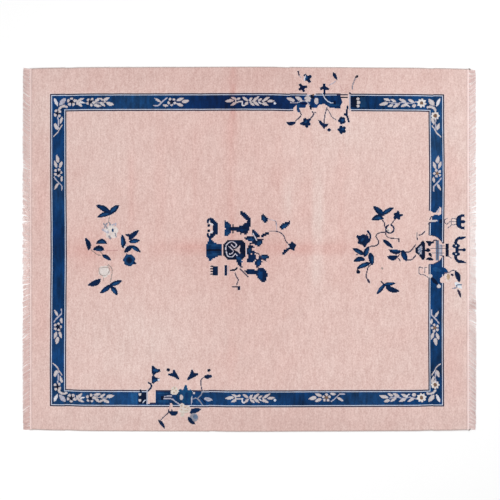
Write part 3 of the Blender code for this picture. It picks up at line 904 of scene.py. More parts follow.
def ripple(x, y, seed):
    """Soft random swells between -1 and 1."""
    rng = np.random.default_rng(seed)
    total = np.zeros(np.shape(x))
    for _ in range(14):
        turn, phase, size = rng.uniform(0, math.tau), rng.uniform(0, math.tau), rng.uniform(0.12, 0.5)
        total = total + np.sin((x * math.cos(turn) + y * math.sin(turn)) * math.tau / size + phase)
    return total / 14 * 1.6


def near(mark, x, y):
    """1 at the middle of a mark, and less away from it."""
    return np.exp(-(((x - mark["x"]) / mark["wide"]) ** 2) - ((y - mark["y"]) / mark["deep"]) ** 2)


def side_of(node, side):
    """The bowed outline of a CAD node on its +Y or -Y side, as x and y."""
    points = [v.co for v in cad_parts[node].data.vertices]
    reach = LENGTH / 2 - CORNER - 1e-4
    outline = {}
    for p in points:
        if abs(p.x) <= reach and side * p.y > 0:
            x = round(p.x, 4)
            outline[x] = max(outline.get(x, 0), side * p.y)
    xs = sorted(outline)
    return np.array(xs), side * np.array([outline[x] for x in xs])


SIDES = {side: side_of("pile", side) for side in (-1, 1)}


def pile_side(x, side):
    return np.interp(x, *SIDES[side])


def on_pile(u, v):
    """The place of a share (0 to 1) along and across the pile."""
    x = (u - 0.5) * LENGTH
    low, high = pile_side(x, -1), pile_side(x, 1)
    return x, low + (high - low) * v


# Where knotting and wear have drawn the design aside: middle, half sizes and shift towards +X, in metres
SWAYS = table(
    "x y wide deep shift",
    (-1.28, 0.02, 0.22, 0.34, 0.0034), (-1.28, -0.8, 0.22, 0.26, -0.002), (1.26, 0.46, 0.22, 0.26, 0.0046),
    (1.26, -0.55, 0.22, 0.3, -0.0022),
)
WAVER_X = 0.0009  # how far the whole design wavers
WAVER_Y = 0.0010
CALM = 0.12  # how far in from the outline the design is drawn aside less


def swayed(x, y):
    """The design isn't quite straight: soft drifts and small wavers, none at the pile's outline."""
    low, high = pile_side(x, -1), pile_side(x, 1)
    inside = np.minimum(LENGTH / 2 - abs(x), np.minimum(high - y, y - low))
    free = np.clip(inside / CALM, 0, 1)
    aside = WAVER_X * ripple(y * 1.6, y * 0.3, 14)
    for sway in SWAYS:
        aside = aside + sway["shift"] * near(sway, x, y)
    up = WAVER_Y * ripple(x * 1.5, x * 0.2, 15)
    return x + aside * free, y + up * free


def cells_of(wool, coarsest, dark):
    """Square cells over the chart, as large as plain wool allows: (column, row, size). Single knots lie along
    both sides of every edge between dark and pale wool."""
    around = np.pad(dark, 1, mode="edge")
    busy = np.zeros(wool.shape, bool)
    for dj in range(3):
        for di in range(3):
            busy |= around[dj : dj + ROWS, di : di + COLUMNS] != dark
    rim = np.zeros(wool.shape, bool)
    rim[[0, -1], :] = True
    rim[:, [0, -1]] = True
    free = np.ones(wool.shape, bool)
    cells = []
    size = coarsest
    while size > 1:
        shape = (ROWS // size, size, COLUMNS // size, size)
        blocks = wool.reshape(shape)
        plain = (blocks == blocks[:, :1, :, :1]).all((1, 3))
        plain &= ~busy.reshape(shape).any((1, 3))
        plain &= ~rim.reshape(shape).any((1, 3)) & free.reshape(shape).all((1, 3))
        for j, i in zip(*np.nonzero(plain)):
            cells.append((i * size, j * size, size))
            free[j * size : (j + 1) * size, i * size : (i + 1) * size] = False
        size //= 2
    cells += [(i, j, 1) for j, i in zip(*np.nonzero(free))]
    return cells


def cell_mesh(cells, flip=False):
    """Faces over the cells that share every vertex. Returns the vertices' grid places (column, row), the
    faces, each face's cell, and the number of the vertex at every grid place."""
    used = np.zeros((ROWS + 1, COLUMNS + 1), bool)
    for i, j, s in cells:
        used[j : j + s + 1 : s, i : i + s + 1 : s] = True
    number = np.full(used.shape, -1)
    rows, columns = np.nonzero(used)
    number[rows, columns] = np.arange(len(rows))
    places = list(zip(columns.astype(float), rows.astype(float)))
    faces, owners = [], []
    for n, (i, j, s) in enumerate(cells):
        if s == 1:
            ring = (number[j, i], number[j, i + 1], number[j + 1, i + 1], number[j + 1, i])
        else:
            ring = [number[j, i + k] for k in range(s)]
            ring += [number[j + k, i + s] for k in range(s)]
            ring += [number[j + s, i + s - k] for k in range(s)]
            ring += [number[j + s - k, i] for k in range(s)]
            ring = [v for v in ring if v >= 0]
        if len(ring) == 4:
            faces.append(tuple(ring))
            owners.append(n)
        else:
            middle = len(places)
            places.append((i + s / 2, j + s / 2))
            for a, b in zip(ring, ring[1:] + ring[:1]):
                faces.append((a, b, middle))
                owners.append(n)
    if flip:
        faces = [face[::-1] for face in faces]
    return np.array(places), faces, owners, number


def kept_in_corners(x, y):
    """Pulls points in from the pile's square corners to their round ones."""
    x, y = x.copy(), y.copy()
    for end in (-1, 1):
        for side in (-1, 1):
            cx = end * (LENGTH / 2 - CORNER)
            cy = float(pile_side(cx, side)) - side * CORNER
            out = (end * (x - cx) > 0) & (side * (y - cy) > 0)
            far = np.hypot(x - cx, y - cy)
            reach = np.maximum(np.abs(x - cx), np.abs(y - cy))
            scale = np.where(out & (far > 0), reach / np.maximum(far, 1e-9), 1)
            x = np.where(out, cx + (x - cx) * scale, x)
            y = np.where(out, cy + (y - cy) * scale, y)
    return x, y


# ---------------------------------------------------------------- wear, fold marks and painted shade

# Where the pink turns redder (warm above 0) or paler (below 0), or darker (dark above 0): middle and half
# sizes in metres, and how much. The darker marks along the top and bottom borders and the paler strip at the
# +X end are painted shade and painted light, where the light falls off across the carpet.
MARKS = table(
    "x y wide deep warm dark",
    (-0.11, 0.95, 0.022, 0.34, 1.25, 0.3), (-0.165, 0.85, 0.012, 0.45, 0.35, 0),
    (-0.12, 0.18, 0.024, 0.36, 0.6, 0.1), (-0.11, -0.66, 0.022, 0.16, 0.55, 0.1),
    (-0.37, 0.01, 0.12, 0.035, 0.8, 0), (0.4, 0, 0.22, 0.03, 0.75, 0), (0, 0.02, 1.2, 0.05, 0.35, 0),
    (-0.79, 0.43, 0.018, 0.28, 0.55, 0), (-0.6, 0.45, 0.03, 0.5, 0.3, 0), (-0.36, 0.5, 0.02, 0.45, 0.25, 0),
    (0.39, 0.35, 0.016, 0.6, 0.5, 0), (0.18, 0.55, 0.02, 0.4, 0.3, 0), (0.62, 0.3, 0.03, 0.5, 0.25, 0),
    (-1.1, -0.02, 0.14, 0.16, 0.7, 0), (-1.05, -0.02, 0.3, 0.04, 0.4, 0), (-1.4, 0.35, 0.05, 0.3, 0.5, 0),
    (-1.4, -0.4, 0.05, 0.2, 0.5, 0), (1.38, 0.5, 0.08, 0.18, 0.6, 0), (1.38, -0.78, 0.08, 0.25, 0.6, 0),
    (0.46, 0.22, 0.035, 0.26, -0.9, -0.1), (0.26, 0.33, 0.035, 0.11, -0.6, 0),
    (0.45, -0.15, 0.05, 0.16, -0.5, 0), (-0.75, -0.6, 0.35, 0.3, -0.35, 0),
    # painted shade: the dark marks at y 0.97 to 1.18 and -1.12 to -1.18 darken the top and bottom borders;
    # the mark at x 1.42 is painted light at the +X end
    (0.7, 0.75, 0.35, 0.18, -0.3, 0), (-0.95, 0.7, 0.2, 0.18, -0.25, 0), (0, 1.18, 1.4, 0.1, 0.1, 0.5),
    (0.15, 1.12, 0.7, 0.12, 0.1, 0.3), (0.15, 0.97, 0.4, 0.14, 0, 0.3), (0.2, -1.12, 0.7, 0.12, 0.1, 0.3),
    (1.42, 0, 0.1, 1.1, -0.42, -0.12), (1.38, 0.75, 0.09, 0.2, -0.3, 0), (-0.04, 0, 0.4, 0.28, 0.35, 0.35),
    (-0.7, 0.02, 0.42, 0.42, 0.18, 0.08), (0.7, 0.02, 0.42, 0.42, 0.22, 0),
    (0.04, 0, 0.28, 1.3, 0.18, 0.12), (-1.4, 0.95, 0.1, 0.25, -0.25, 0), (-0.9, -1.12, 0.55, 0.12, -0.2, 0),
    (0, -1.18, 1.4, 0.1, 0, 0.5), (-0.35, 0.8, 0.5, 0.4, 0.15, 0.1),
)
WARMER = np.array((0.955, 0.835, 0.825))  # what a full warm mark leaves of the red, green and blue
DARKER = np.array((0.90, 0.89, 0.89))


def wear_and_shade(x, y):
    """What the marks and the painted shade leave of the wool's red, green and blue."""
    # soft clouds of wear, and painted shade making it darker towards the left end, away from the light
    warm = 0.17 * ripple(x * 2.6, y * 0.8, 5) + 0.12 * ripple(x * 0.9, y * 0.9, 9)
    dark = 0.07 * ripple(x * 1.3, y, 6) - 0.22 * x / (LENGTH / 2)
    for mark in MARKS:
        share = near(mark, x, y)
        warm = warm + mark["warm"] * share
        dark = dark + mark["dark"] * share
    return WARMER ** warm[..., None] * DARKER ** dark[..., None]


# Where the navy was knotted from another lot of wool, paler above 0 and deeper below: middle and half sizes
# in metres, and how much
LOTS = table(
    "x y wide deep lot",
    (-0.78, 0.99, 0.16, 0.12, 0.75), (-0.02, 0.99, 0.55, 0.12, -0.45), (1.12, 0.99, 0.22, 0.12, 0.2),
    (-1.04, -1.0, 0.3, 0.12, 0.85), (-0.05, -1.0, 0.32, 0.12, 0.45), (0.78, -1.0, 0.2, 0.12, 0.65),
    (-1.285, 0.45, 0.1, 0.2, 0.5), (-1.285, 0.1, 0.1, 0.12, -0.2), (-1.285, -0.6, 0.1, 0.16, 0.35),
    (1.255, 0.72, 0.1, 0.26, 1.15), (1.255, 0.34, 0.1, 0.09, 0.3), (1.255, -0.6, 0.1, 0.4, 0.2),
)
PALER = np.array((0.0098, 0.030, 0.062))  # what a full paler lot adds of red, green and blue


def linear(colour):
    """An sRGB colour, 0 to 255, as linear light."""
    c = np.asarray(colour, float) / 255
    return np.where(c <= 0.04045, c / 12.92, ((c + 0.055) / 1.055) ** 2.4)


def new_object(name, vertices, faces, looks, shade_smooth=True):
    mesh = bpy.data.meshes.new(name)
    mesh.from_pydata([tuple(v) for v in vertices], [], [tuple(int(v) for v in f) for f in faces])
    mesh.update()
    mesh.materials.append(looks)
    made = bpy.data.objects.new(name, mesh)
    bpy.context.scene.collection.objects.link(made)
    if shade_smooth:
        mesh.polygons.foreach_set("use_smooth", [True] * len(mesh.polygons))
    return made


def paint(mesh, name, domain, values):
    """Stores a colour for every face or point."""
    layer = mesh.attributes.new(name, "FLOAT_COLOR", domain)
    layer.data.foreach_set("color", np.asarray(values, np.float32).ravel())


WOOL_COLOURS = np.array([[*linear(colour), uneven] for colour, uneven in WOOLS.values()])


def make_pile(chart, looks):
    """The top and the sides of the pile, with every face in its own wool."""
    dark = np.isin(chart.wool, DARK_WOOLS)
    cells = cells_of(chart.wool, COARSE, dark)
    places, faces, owners, number = cell_mesh(cells)
    x, y = on_pile(places[:, 0] / COLUMNS, places[:, 1] / ROWS)
    x, y = kept_in_corners(*swayed(x, y))
    # the pile is clipped down between a dark and a pale wool
    around = np.pad(dark, 1, mode="edge")
    i, j = places[:, 0].astype(int), places[:, 1].astype(int)
    corners = np.stack([around[j + dj, i + di] for dj in (0, 1) for di in (0, 1)])
    carved = corners.any(0) & ~corners.all(0)
    z = TOP + SWELL * ripple(x * 1.5, y * 1.5, 3) - CARVING * carved
    rng = np.random.default_rng(11)
    z = z + rng.uniform(-RAGGED, RAGGED, len(z))
    in_rim = (places[:, 0] == 0) | (places[:, 0] == COLUMNS) | (places[:, 1] == 0) | (places[:, 1] == ROWS)
    z = np.where(in_rim, z - RIM_DROP, z)
    ring = [number[0, k] for k in range(COLUMNS)]
    ring += [number[k, COLUMNS] for k in range(ROWS)]
    ring += [number[ROWS, COLUMNS - k] for k in range(COLUMNS)]
    ring += [number[ROWS - k, 0] for k in range(ROWS)]
    vertices = np.stack([x, y, z], 1)
    wall = vertices[ring].copy()
    wall[:, 2] = BACK
    first = len(vertices)
    vertices = np.concatenate([vertices, wall])
    owner_wool = [chart.wool[cells[n][1], cells[n][0]] for n in owners]
    count = len(ring)
    for k in range(count):
        n = (k + 1) % count
        faces.append((ring[n], ring[k], first + k, first + n))
        owner_wool.append(WOOL["ground"])
    pile = new_object("pile", vertices, faces, looks)
    colours = WOOL_COLOURS[owner_wool]
    blue = np.isin(owner_wool, BLUE_WOOLS)
    corner_of = vertices[[face[0] for face in faces]]
    lot = sum(mark["lot"] * near(mark, corner_of[:, 0], corner_of[:, 1]) for mark in LOTS)
    dyed = np.maximum(colours[:, :3] + lot[:, None] * PALER, 0.001)
    colours[:, :3] = np.where(blue[:, None], dyed, colours[:, :3])
    paint(pile.data, "wool", "FACE", colours)
    colour = wear_and_shade(vertices[:, 0], vertices[:, 1])
    on_rim = np.concatenate([in_rim, np.ones(count, bool)])
    # painted shade: the rim's knots, which lean down, and the pile's sides are darkened
    colour[on_rim] *= RIM_SHADE
    paint(pile.data, "wear_and_shade", "POINT", np.concatenate([colour, np.ones((len(colour), 1))], 1))
    return pile


def make_back(chart, looks):
    """The underside: the same knots seen from behind, on their foundation."""
    cells = cells_of(chart.wool, COARSE, np.zeros(chart.wool.shape, bool))
    places, faces, owners, _ = cell_mesh(cells, flip=True)
    x, y = on_pile(places[:, 0] / COLUMNS, places[:, 1] / ROWS)
    x, y = kept_in_corners(x, y)
    z = np.full(len(x), BACK * 0.5)
    back = new_object("pile_back", np.stack([x, y, z], 1), faces, looks)
    paint(back.data, "wool", "FACE", WOOL_COLOURS[[chart.wool[cells[n][1], cells[n][0]] for n in owners]])
    return back


# ---------------------------------------------------------------- overcast edges and woven ends

WRAP = 0.0042  # one turn of the overcasting wool
TURN_STATIONS = 3  # rings of the mesh in each turn
CORD_SIDES = 8
SELVAGE_WIDTH = 0.0058
GAP = 0.0003

PICKS = 6  # weft threads of a woven end
WARP_PITCH = 0.0042
CROWN = 0.0009  # how high a thread rises where it lies over the other
DIP = 0.0007  # how low the cloth lies between two weft threads


def make_selvage(name, side, looks):
    """A cord of warps wrapped with wool along the pile's bowed edge, and the wool's tail at the +X end."""
    low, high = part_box(name)
    height = high.z - low.z
    turns = round((high.x - low.x) / WRAP)
    rng = np.random.default_rng(21 + side)
    lift = rng.uniform(0.88, 1.0, turns + 1)
    slant = rng.uniform(-0.1, 0.1, turns + 1)
    vertices, faces = [], []
    stations = turns * TURN_STATIONS + 1
    for n in range(stations):
        turn, phase = divmod(n, TURN_STATIONS)
        waist = 0.80 if phase == 0 else 1.0
        for k in range(CORD_SIDES):
            a = math.tau * k / CORD_SIDES
            across, up = math.cos(a), math.sin(a)
            x = low.x + (high.x - low.x) * n / (stations - 1) + WRAP * (0.25 * across + slant[turn])
            x = min(max(x, low.x), high.x)
            middle = float(pile_side(x, side)) + side * (GAP + SELVAGE_WIDTH / 2)
            y = middle + across * SELVAGE_WIDTH / 2 * waist * lift[turn]
            vertices.append((x, y, max(0.0002, height * (0.5 + 0.49 * up * waist * lift[turn]))))
    for n in range(stations - 1):
        for k in range(CORD_SIDES):
            m = (k + 1) % CORD_SIDES
            a, b = n * CORD_SIDES, (n + 1) * CORD_SIDES
            faces.append((a + k, b + k, b + m, a + m))
    faces.append(tuple(range(CORD_SIDES)))
    faces.append(tuple((stations - 1) * CORD_SIDES + k for k in reversed(range(CORD_SIDES))))
    wrapped = len(faces)
    out = float(pile_side(high.x, side)) + side * GAP
    tail = [
        (high.x - 0.004, out + side * 0.0045, 0.0072),
        (high.x + 0.001, out + side * 0.0040, 0.0080),
        (high.x + 0.005, out + side * 0.0010, 0.0074),
        (high.x + 0.009, out - side * 0.0055, 0.0066),
    ]
    tube(vertices, faces, tail, (0.0022, 0.0038, 0.0040, 0.0020), 6)
    selvage = new_object(name, vertices, faces, looks)
    tones = [1.0] * wrapped + [0.0] * (len(faces) - wrapped)
    paint(selvage.data, "tone", "FACE", [(tone, tone, tone, 1.0) for tone in tones])
    return selvage


def make_web(name, end, looks):
    """Plain weave: thick weft across the warps that run out into the fringe."""
    low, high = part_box(name)
    warps = round((high.y - low.y) / WARP_PITCH)
    across, along = PICKS * 2 + 1, warps * 2 + 1
    rng = np.random.default_rng(31 + end)
    stray = rng.uniform(-0.0003, 0.0003, (across, along))
    vertices = []
    for i in range(across):
        for j in range(along):
            over = (i // 2 + j // 2) % 2
            crown = CROWN if over else 0.0
            if i % 2 == 0:
                crown -= DIP
            z = high.z - 0.0008 + crown - abs(stray[i, j])
            x = low.x + (high.x - low.x) * i / (across - 1)
            y = low.y + (high.y - low.y) * j / (along - 1)
            vertices.append((x, y, z))
    faces = []
    for i in range(across - 1):
        for j in range(along - 1):
            a = i * along + j
            faces.append((a, a + along, a + along + 1, a + 1))
    ring = [i * along for i in range(across)]
    ring += [(across - 1) * along + j for j in range(1, along)]
    ring += [i * along + along - 1 for i in reversed(range(across - 1))]
    ring += list(reversed(range(1, along - 1)))
    first = len(vertices)
    for v in ring:
        vertices.append((vertices[v][0], vertices[v][1], 0.0003))
    count = len(ring)
    for k in range(count):
        n = (k + 1) % count
        faces.append((ring[k], first + k, first + n, ring[n]))
    return new_object(name, vertices, faces, looks)


# ---------------------------------------------------------------- fringe

TASSELS = 168
STATIONS = 7  # rings of the mesh along a strand
KNOT_ROW = 0.004
END_MARGIN = 0.0022

# A tassel's strands: how many, each one's half width, how high they lie, the share of the pitch that they
# cover at the knot and at the tip, and how pale the soiled ones and the clean ones are. The lower layer's
# strands are painted darker, as the shade under the upper ones.
LAYERS = table(
    "strands radius height cover pale",
    (5, 0.00165, 0.0006, (0.95, 1.0), (0.1, 0.75)), (5, 0.0011, 0.0023, (0.66, 0.8), (0.2, 0.9)),
)
BOLD = 0.62  # how much paler the tassels that stand out are

# How the fringes lie, across the width from -1 to 1: the tassels' reach as a share of the longest, the tip's
# lean towards +Y as a share of the length, how disordered they are, and how clean, from 0 to 1
FRINGE_LIE = table(
    "across reach lean loose clean",
    (-1.0, 0.86, 0.06, 0.3, 0.15), (-0.92, 0.94, -0.66, 0.5, 0.2), (-0.5, 1.0, -0.72, 0.8, 0.6),
    (-0.12, 0.99, -0.2, 1.5, 1.0), (0.12, 1.0, 0.16, 1.5, 1.0), (0.5, 0.98, 0.7, 1.1, 0.55),
    (0.92, 0.93, 0.66, 0.5, 0.1), (1.0, 0.84, -0.08, 0.3, 0),
)


def from_lie(key, across):
    """What the table says of the fringe at a place across it."""
    return float(np.interp(across, [row["across"] for row in FRINGE_LIE], [row[key] for row in FRINGE_LIE]))


def tube(vertices, faces, path, radii, sides, flat=1.0):
    """Adds a closed tube along a path."""
    first = len(vertices)
    path = np.asarray(path, float)
    for n, p in enumerate(path):
        ahead = path[min(n + 1, len(path) - 1)] - path[max(n - 1, 0)]
        ahead /= np.linalg.norm(ahead)
        level = np.cross((0, 0, 1), ahead)
        level /= max(np.linalg.norm(level), 1e-9)
        up = np.cross(ahead, level) * flat
        for k in range(sides):
            a = math.tau * (k + 0.5) / sides
            vertices.append(tuple(p + radii[n] * (math.cos(a) * level + math.sin(a) * up)))
    for n in range(len(path) - 1):
        for k in range(sides):
            m = (k + 1) % sides
            a, b = first + n * sides, first + (n + 1) * sides
            faces.append((a + k, a + m, b + m, b + k))
    faces.append(tuple(first + k for k in reversed(range(sides))))
    last = first + (len(path) - 1) * sides
    faces.append(tuple(last + k for k in range(sides)))


def make_fringe(name, end, looks):
    """A row of knots with a tassel of loose strands hanging from each."""
    low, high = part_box(name)
    root = min(abs(low.x), abs(high.x))
    longest = max(abs(low.x), abs(high.x)) - root - KNOT_ROW
    rng = np.random.default_rng(41 + end)
    vertices, faces, tones = [], [], []
    edge_x = end * LENGTH / 2
    bottom = float(pile_side(edge_x, -1)) - SELVAGE_WIDTH + END_MARGIN
    top = float(pile_side(edge_x, 1)) + SELVAGE_WIDTH - END_MARGIN
    pitch = (top - bottom) / TASSELS
    # how the tassels stray together, and how far each is combed from its neighbours
    drift = np.cumsum(rng.normal(0, 0.09, TASSELS))
    drift -= np.convolve(drift, np.ones(13) / 13, mode="same")

    def add(path, radii, sides, flat, pale):
        before = len(faces)
        tube(vertices, faces, path, radii, sides, flat)
        tones.extend([pale] * (len(faces) - before))

    bold = False
    for t in range(TASSELS):
        across = (2 * t + 1) / TASSELS - 1
        # every other tassel stands out, now and then out of turn
        if rng.uniform() < 0.9:
            bold = not bold
        loose = from_lie("loose", across)
        middle = bottom + (t + 0.5) * pitch + rng.normal(0, pitch * 0.06)
        lean = from_lie("lean", across) + drift[t] * loose
        length = longest * from_lie("reach", across) * rng.uniform(1.0 - 0.09 * loose, 1.0)
        clean = from_lie("clean", across)
        # most tassels spread a little, and a few are drawn together into a lock
        gathered = rng.uniform(0.9, 1.25) if rng.uniform() > 0.16 * loose else rng.uniform(0.45, 0.7)
        knot = [
            (end * (root + out), middle, up)
            for out, up in ((0.0002, 0.0016), (0.0012, 0.0019), (0.0030, 0.0019), (KNOT_ROW + 0.0012, 0.0016))
        ]
        wide = pitch * 0.42
        # the knots' low tone paints them darker, as the shade between the web and the fringe
        add(knot, (wide * 0.7, wide, wide, wide * 0.7), 6, 0.22, rng.uniform(0.0, 0.4))
        for layer in LAYERS:
            for s in range(layer["strands"]):
                share = (s + 0.5) / layer["strands"] - 0.5
                start = middle + share * pitch * layer["cover"][0]
                astray = length * (lean + rng.normal(0, 0.05 * loose))
                finish = middle + astray + share * pitch * gathered * layer["cover"][1]
                reach = length * rng.uniform(0.90, 1.0)
                sway, wave = rng.normal(0, 0.0012 * loose), rng.uniform(0, math.tau)
                # the strand bends away from its knot and wavers a little on its way
                path = []
                for n in range(STATIONS):
                    q = n / (STATIONS - 1)
                    ease = q * q * (3 - 2 * q) * 0.35 + q * 0.65
                    y = start + (finish - start) * ease + sway * math.sin(math.pi * q)
                    y += 0.0005 * loose * math.sin(wave + 7 * q)
                    z = layer["height"] + 0.0006 * (0.5 + 0.5 * math.sin(wave * 3 + 5 * q)) + 0.0003 * (s % 2)
                    path.append((end * (root + KNOT_ROW + reach * q), y, z))
                radii = [layer["radius"] * (1 - 0.5 * (n / (STATIONS - 1)) ** 3) for n in range(STATIONS)]
                flat = 0.45 if layer is LAYERS[0] else 1.0
                # the lower layer's lower values are painted shade under the upper strands
                soiled, clear = layer["pale"]
                pale = soiled + (clear - soiled) * clean + rng.uniform(-0.08, 0.08)
                if bold and layer is LAYERS[1]:
                    pale += BOLD * (1 - pale)
                add(path, radii, 4, flat, min(max(pale, 0.0), 1.0))
    fringe = new_object(name, vertices, faces, looks)
    paint(fringe.data, "tone", "FACE", [(pale, pale, pale, 1.0) for pale in tones])
    return fringe


# ---------------------------------------------------------------- materials


class Shader:
    """A Principled material with short calls for its nodes."""

    def __init__(self, name):
        self.material = bpy.data.materials.new(name)
        self.material.use_nodes = True
        self.tree = self.material.node_tree
        self.surface = self.tree.nodes["Principled BSDF"]

    def node(self, kind, settings=None, **inputs):
        made = self.tree.nodes.new(kind)
        for key, value in (settings or {}).items():
            setattr(made, key, value)
        for key, value in inputs.items():
            self.feed(made.inputs[int(key[1:]) if key[0] == "i" and key[1:].isdigit() else key], value)
        return made

    def feed(self, socket, value):
        if isinstance(value, bpy.types.NodeSocket):
            self.tree.links.new(value, socket)
        else:
            socket.default_value = value

    def math(self, operation, a, b=0.0):
        return self.node("ShaderNodeMath", {"operation": operation}, i0=a, i1=b).outputs[0]

    def mixed(self, blend, share, a, b):
        made = self.node("ShaderNodeMix", {"data_type": "RGBA", "blend_type": blend})
        self.feed(made.inputs[0], share)
        self.feed(made.inputs[6], a)
        self.feed(made.inputs[7], b)
        return made.outputs[2]

    def grain(self, scale, detail, stretch=(1, 1, 1)):
        """Noise around 0, from about -0.5 to 0.5, over the carpet's own metres."""
        place = self.node("ShaderNodeTexCoord").outputs["Object"]
        scaled = self.node("ShaderNodeVectorMath", {"operation": "MULTIPLY"}, i0=place, i1=stretch).outputs[0]
        noise = self.node("ShaderNodeTexNoise", Vector=scaled, Scale=scale, Detail=detail)
        return self.math("SUBTRACT", noise.outputs[0], 0.5)

    def finish(self, colour, roughness, sheen, bump, distance):
        surface = self.surface
        self.feed(surface.inputs["Base Color"], colour)
        self.feed(surface.inputs["Roughness"], roughness)
        surface.inputs["Sheen Weight"].default_value = sheen
        surface.inputs["Sheen Roughness"].default_value = 0.6
        surface.inputs["Specular IOR Level"].default_value = 0.08
        raised = self.node("ShaderNodeBump", Strength=0.6, Distance=distance, Height=bump)
        self.feed(surface.inputs["Normal"], raised.outputs[0])
        return self.material


def around_one(shader, parts):
    """1 plus the sum of grains, each times its weight."""
    total = 1.0
    for grain, weight in parts:
        total = shader.math("ADD", total, shader.math("MULTIPLY", grain, weight))
    return total


def toned(shader, colour, level):
    """The colour times a level around 1 that swings the green and blue a little more than the red."""
    off = shader.math("SUBTRACT", level, 1.0)
    parts = [shader.math("ADD", 1.0, shader.math("MULTIPLY", off, swing)) for swing in (0.8, 1.08, 1.12)]
    grey = shader.node("ShaderNodeCombineColor", Red=parts[0], Green=parts[1], Blue=parts[2]).outputs[0]
    return shader.mixed("MULTIPLY", 1.0, colour, grey)


def knotted(name, worn_and_shaded, relief):
    """Hand-knotted wool: the chart's colour, uneven dye along the rows of knots, and every knot's tuft."""
    shader = Shader(name)
    wool = shader.node("ShaderNodeAttribute", {"attribute_name": "wool"})
    specks = shader.grain(115, 2, (1.1, 0.8, 1))
    tufts = shader.grain(420, 3)
    streaks = shader.grain(45, 2, (1.8, 0.35, 1))
    rows = shader.grain(26, 2, (1.8, 0.45, 1))
    clouds = shader.grain(5, 3)
    swells = shader.grain(11, 2, (1.7, 0.7, 1))
    fine = around_one(
        shader, ((specks, 0.68), (tufts, 0.36), (streaks, 0.32), (rows, 0.06), (swells, 0.05), (clouds, 0.08))
    )
    threads = shader.grain(30, 1, (1.3, 0.4, 1))
    dye = around_one(shader, ((threads, 2.2), (shader.grain(3.3, 1), 2.4), (rows, 1.2)))
    dye = shader.math("SUBTRACT", dye, 1.0)
    uneven = shader.math("ADD", 1.0, shader.math("MULTIPLY", dye, wool.outputs["Alpha"]))
    colour = toned(shader, wool.outputs["Color"], shader.math("MULTIPLY", fine, uneven))
    if worn_and_shaded:
        # the wear and the painted shade, from the pile's points
        wear_and_shade = shader.node("ShaderNodeAttribute", {"attribute_name": "wear_and_shade"})
        colour = shader.mixed("MULTIPLY", 1.0, colour, wear_and_shade.outputs["Color"])
    place = shader.node("ShaderNodeTexCoord").outputs["Object"]
    knots = shader.node("ShaderNodeTexVoronoi", {"feature": "F1"}, Vector=place, Scale=230.0, Randomness=0.55)
    bump = shader.math("SUBTRACT", shader.math("MULTIPLY", tufts, 0.8), knots.outputs[0])
    rough = shader.math("ADD", 0.93, shader.math("MULTIPLY", tufts, 0.1))
    return shader.finish(colour, rough, 0.05, bump, relief)


def spun(name, colour, twist, relief, pale=None, patches=()):
    """Yarn: plied thread with dusty and worn places. pale: the colour of the palest strands, where the mesh
    has a tone for each. patches: where it's stained."""
    shader = Shader(name)
    fibres = shader.grain(700, 2, (0.3, 1, 1))
    dust = shader.grain(18, 3)
    place = shader.node("ShaderNodeTexCoord").outputs["Object"]
    bands = {"wave_type": "BANDS", "bands_direction": "DIAGONAL"}
    plies = shader.node("ShaderNodeTexWave", bands, Vector=place, Scale=twist, Distortion=1.5, Detail=1.0)
    plies = shader.math("SUBTRACT", plies.outputs["Fac"], 0.5)
    base = (*linear(colour), 1.0)
    if pale:
        tone = shader.node("ShaderNodeAttribute", {"attribute_name": "tone"})
        base = shader.mixed("MIX", tone.outputs["Fac"], base, (*linear(pale), 1.0))
    base = toned(shader, base, around_one(shader, ((fibres, 0.30), (dust, 0.30), (plies, 0.10))))
    for patch in patches:
        away = shader.node("ShaderNodeVectorMath", {"operation": "DISTANCE"}, i0=place, i1=patch["at"])
        near = shader.node("ShaderNodeMapRange", {"clamp": True}, Value=away.outputs["Value"])
        near.inputs["From Min"].default_value = patch["size"]
        near.inputs["From Max"].default_value = patch["size"] * 0.3
        share = shader.math("MULTIPLY", near.outputs[0], patch["strength"])
        base = shader.mixed("MIX", share, base, (*linear(patch["colour"]), 1.0))
    bump = shader.math("ADD", plies, shader.math("MULTIPLY", fibres, 0.7))
    rough = shader.math("ADD", 0.9, shader.math("MULTIPLY", fibres, 0.1))
    return shader.finish(base, rough, 0.08, bump, relief)


# ---------------------------------------------------------------- floor, light and camera

FLOOR_HALF = 30.0
FLOOR_LEVEL = -0.0005

WORLD_LIGHT = 0.61
# Name, place, size and power
LAMPS = (
    ("key", (2.8, 1.9, 5.5), 4.0, 155.0),
    ("fill", (-3.2, -1.6, 5.2), 4.0, 117.0),
)

PILE_HEIGHT = 0.012
CAMERA_PLACE = (0.004, -0.005, 7.5)
FIELD = 3.36  # how much of the pile's level the picture takes in


def make_floor():
    """A plain, nearly white floor, well past the camera's view."""
    shader = Shader("floor_paint")
    shader.surface.inputs["Base Color"].default_value = (0.96, 0.96, 0.96, 1.0)
    shader.surface.inputs["Roughness"].default_value = 0.9
    corners = [(FLOOR_HALF * x, FLOOR_HALF * y, FLOOR_LEVEL) for x, y in ((-1, -1), (1, -1), (1, 1), (-1, 1))]
    floor = new_object("floor", corners, [(0, 1, 2, 3)], shader.material, False)


def make_light():
    world = bpy.data.worlds.new("studio")
    bpy.context.scene.world = world
    world.use_nodes = True
    world.node_tree.nodes["Background"].inputs["Color"].default_value = (1.0, 1.0, 1.0, 1.0)
    world.node_tree.nodes["Background"].inputs["Strength"].default_value = WORLD_LIGHT
    for name, place, size, power in LAMPS:
        lamp = bpy.data.lights.new(name, "AREA")
        lamp.shape = "SQUARE"
        lamp.size = size
        lamp.energy = power
        held = bpy.data.objects.new(name, lamp)
        held.location = place
        aim = -np.asarray(place, float)
        held.rotation_euler = mathutils.Vector(aim).to_track_quat("-Z", "Y").to_euler()
        bpy.context.scene.collection.objects.link(held)


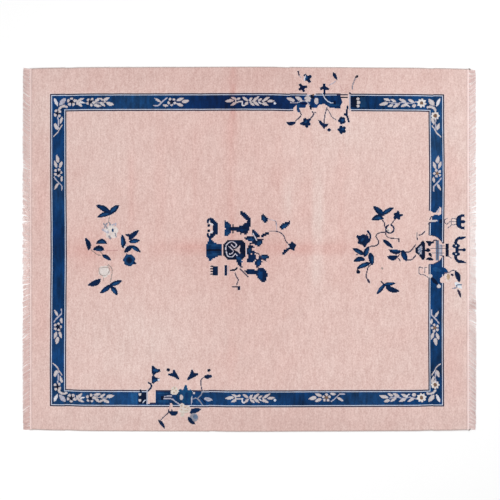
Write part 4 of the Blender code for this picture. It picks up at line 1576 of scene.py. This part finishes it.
def make_camera():
    lens = bpy.data.cameras.new("camera")
    lens.sensor_width = 36.0
    lens.lens = lens.sensor_width * (CAMERA_PLACE[2] - PILE_HEIGHT) / FIELD
    lens.clip_end = 100.0
    camera = bpy.data.objects.new("camera", lens)
    camera.location = CAMERA_PLACE
    bpy.context.scene.collection.objects.link(camera)
    bpy.context.scene.camera = camera
    bpy.context.scene.view_settings.view_transform = "Standard"


# ---------------------------------------------------------------- everything

chart = Chart()
draw(chart)
painted_edge_highlight(chart)
pile = make_pile(chart, knotted("pile_wool", True, 0.0012))
back = make_back(chart, knotted("pile_back_wool", False, 0.0006))
# the overcasting wool, with its grey tails knotted at the right-hand corners
selvage_wool = spun("selvage_wool", (150, 140, 136), 260, 0.0006, (213, 203, 200))
stain = {"at": (1.51, -0.375, 0.002), "size": 0.045, "strength": 0.4, "colour": (186, 132, 122)}
clean = {"at": (-1.51, 0.80, 0.002), "size": 0.85, "strength": 0.22, "colour": (252, 234, 230)}
dusty = {"at": (-1.51, -0.90, 0.002), "size": 0.90, "strength": 0.26, "colour": (206, 170, 164)}
selvages = [make_selvage("selvage_upper", 1, selvage_wool), make_selvage("selvage_lower", -1, selvage_wool)]
# the cotton at the left end is a little pinker, and painted darker as shade, the light falling from the right
webs, fringes = [], []
for place, end, web_colour, shaded_and_soiled_colour, pale_colour, patches in (
    ("left", -1, (236, 211, 206), (216, 183, 178), (249, 224, 219), (clean, dusty)),
    ("right", 1, (248, 225, 221), (226, 193, 188), (255, 242, 239), (stain,)),
):
    web_cotton = spun("web_cotton_" + place, web_colour, 300, 0.0004)
    fringe_cotton = spun("fringe_cotton_" + place, shaded_and_soiled_colour, 380, 0.0003, pale_colour, patches)
    webs.append(make_web("web_" + place, end, web_cotton))
    fringes.append(make_fringe("fringe_" + place, end, fringe_cotton))

for piece, slot, node in (
    (pile, "pile_wool", "pile"),
    (back, "pile_wool", "pile"),
    (selvages[0], "selvage_wool", "selvage_upper"),
    (selvages[1], "selvage_wool", "selvage_lower"),
    (webs[0], "web_cotton", "web_left"),
    (webs[1], "web_cotton", "web_right"),
    (fringes[0], "fringe_cotton", "fringe_left"),
    (fringes[1], "fringe_cotton", "fringe_right"),
):
    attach(piece, "root")
    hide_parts(node)

make_floor()
make_light()
make_camera()
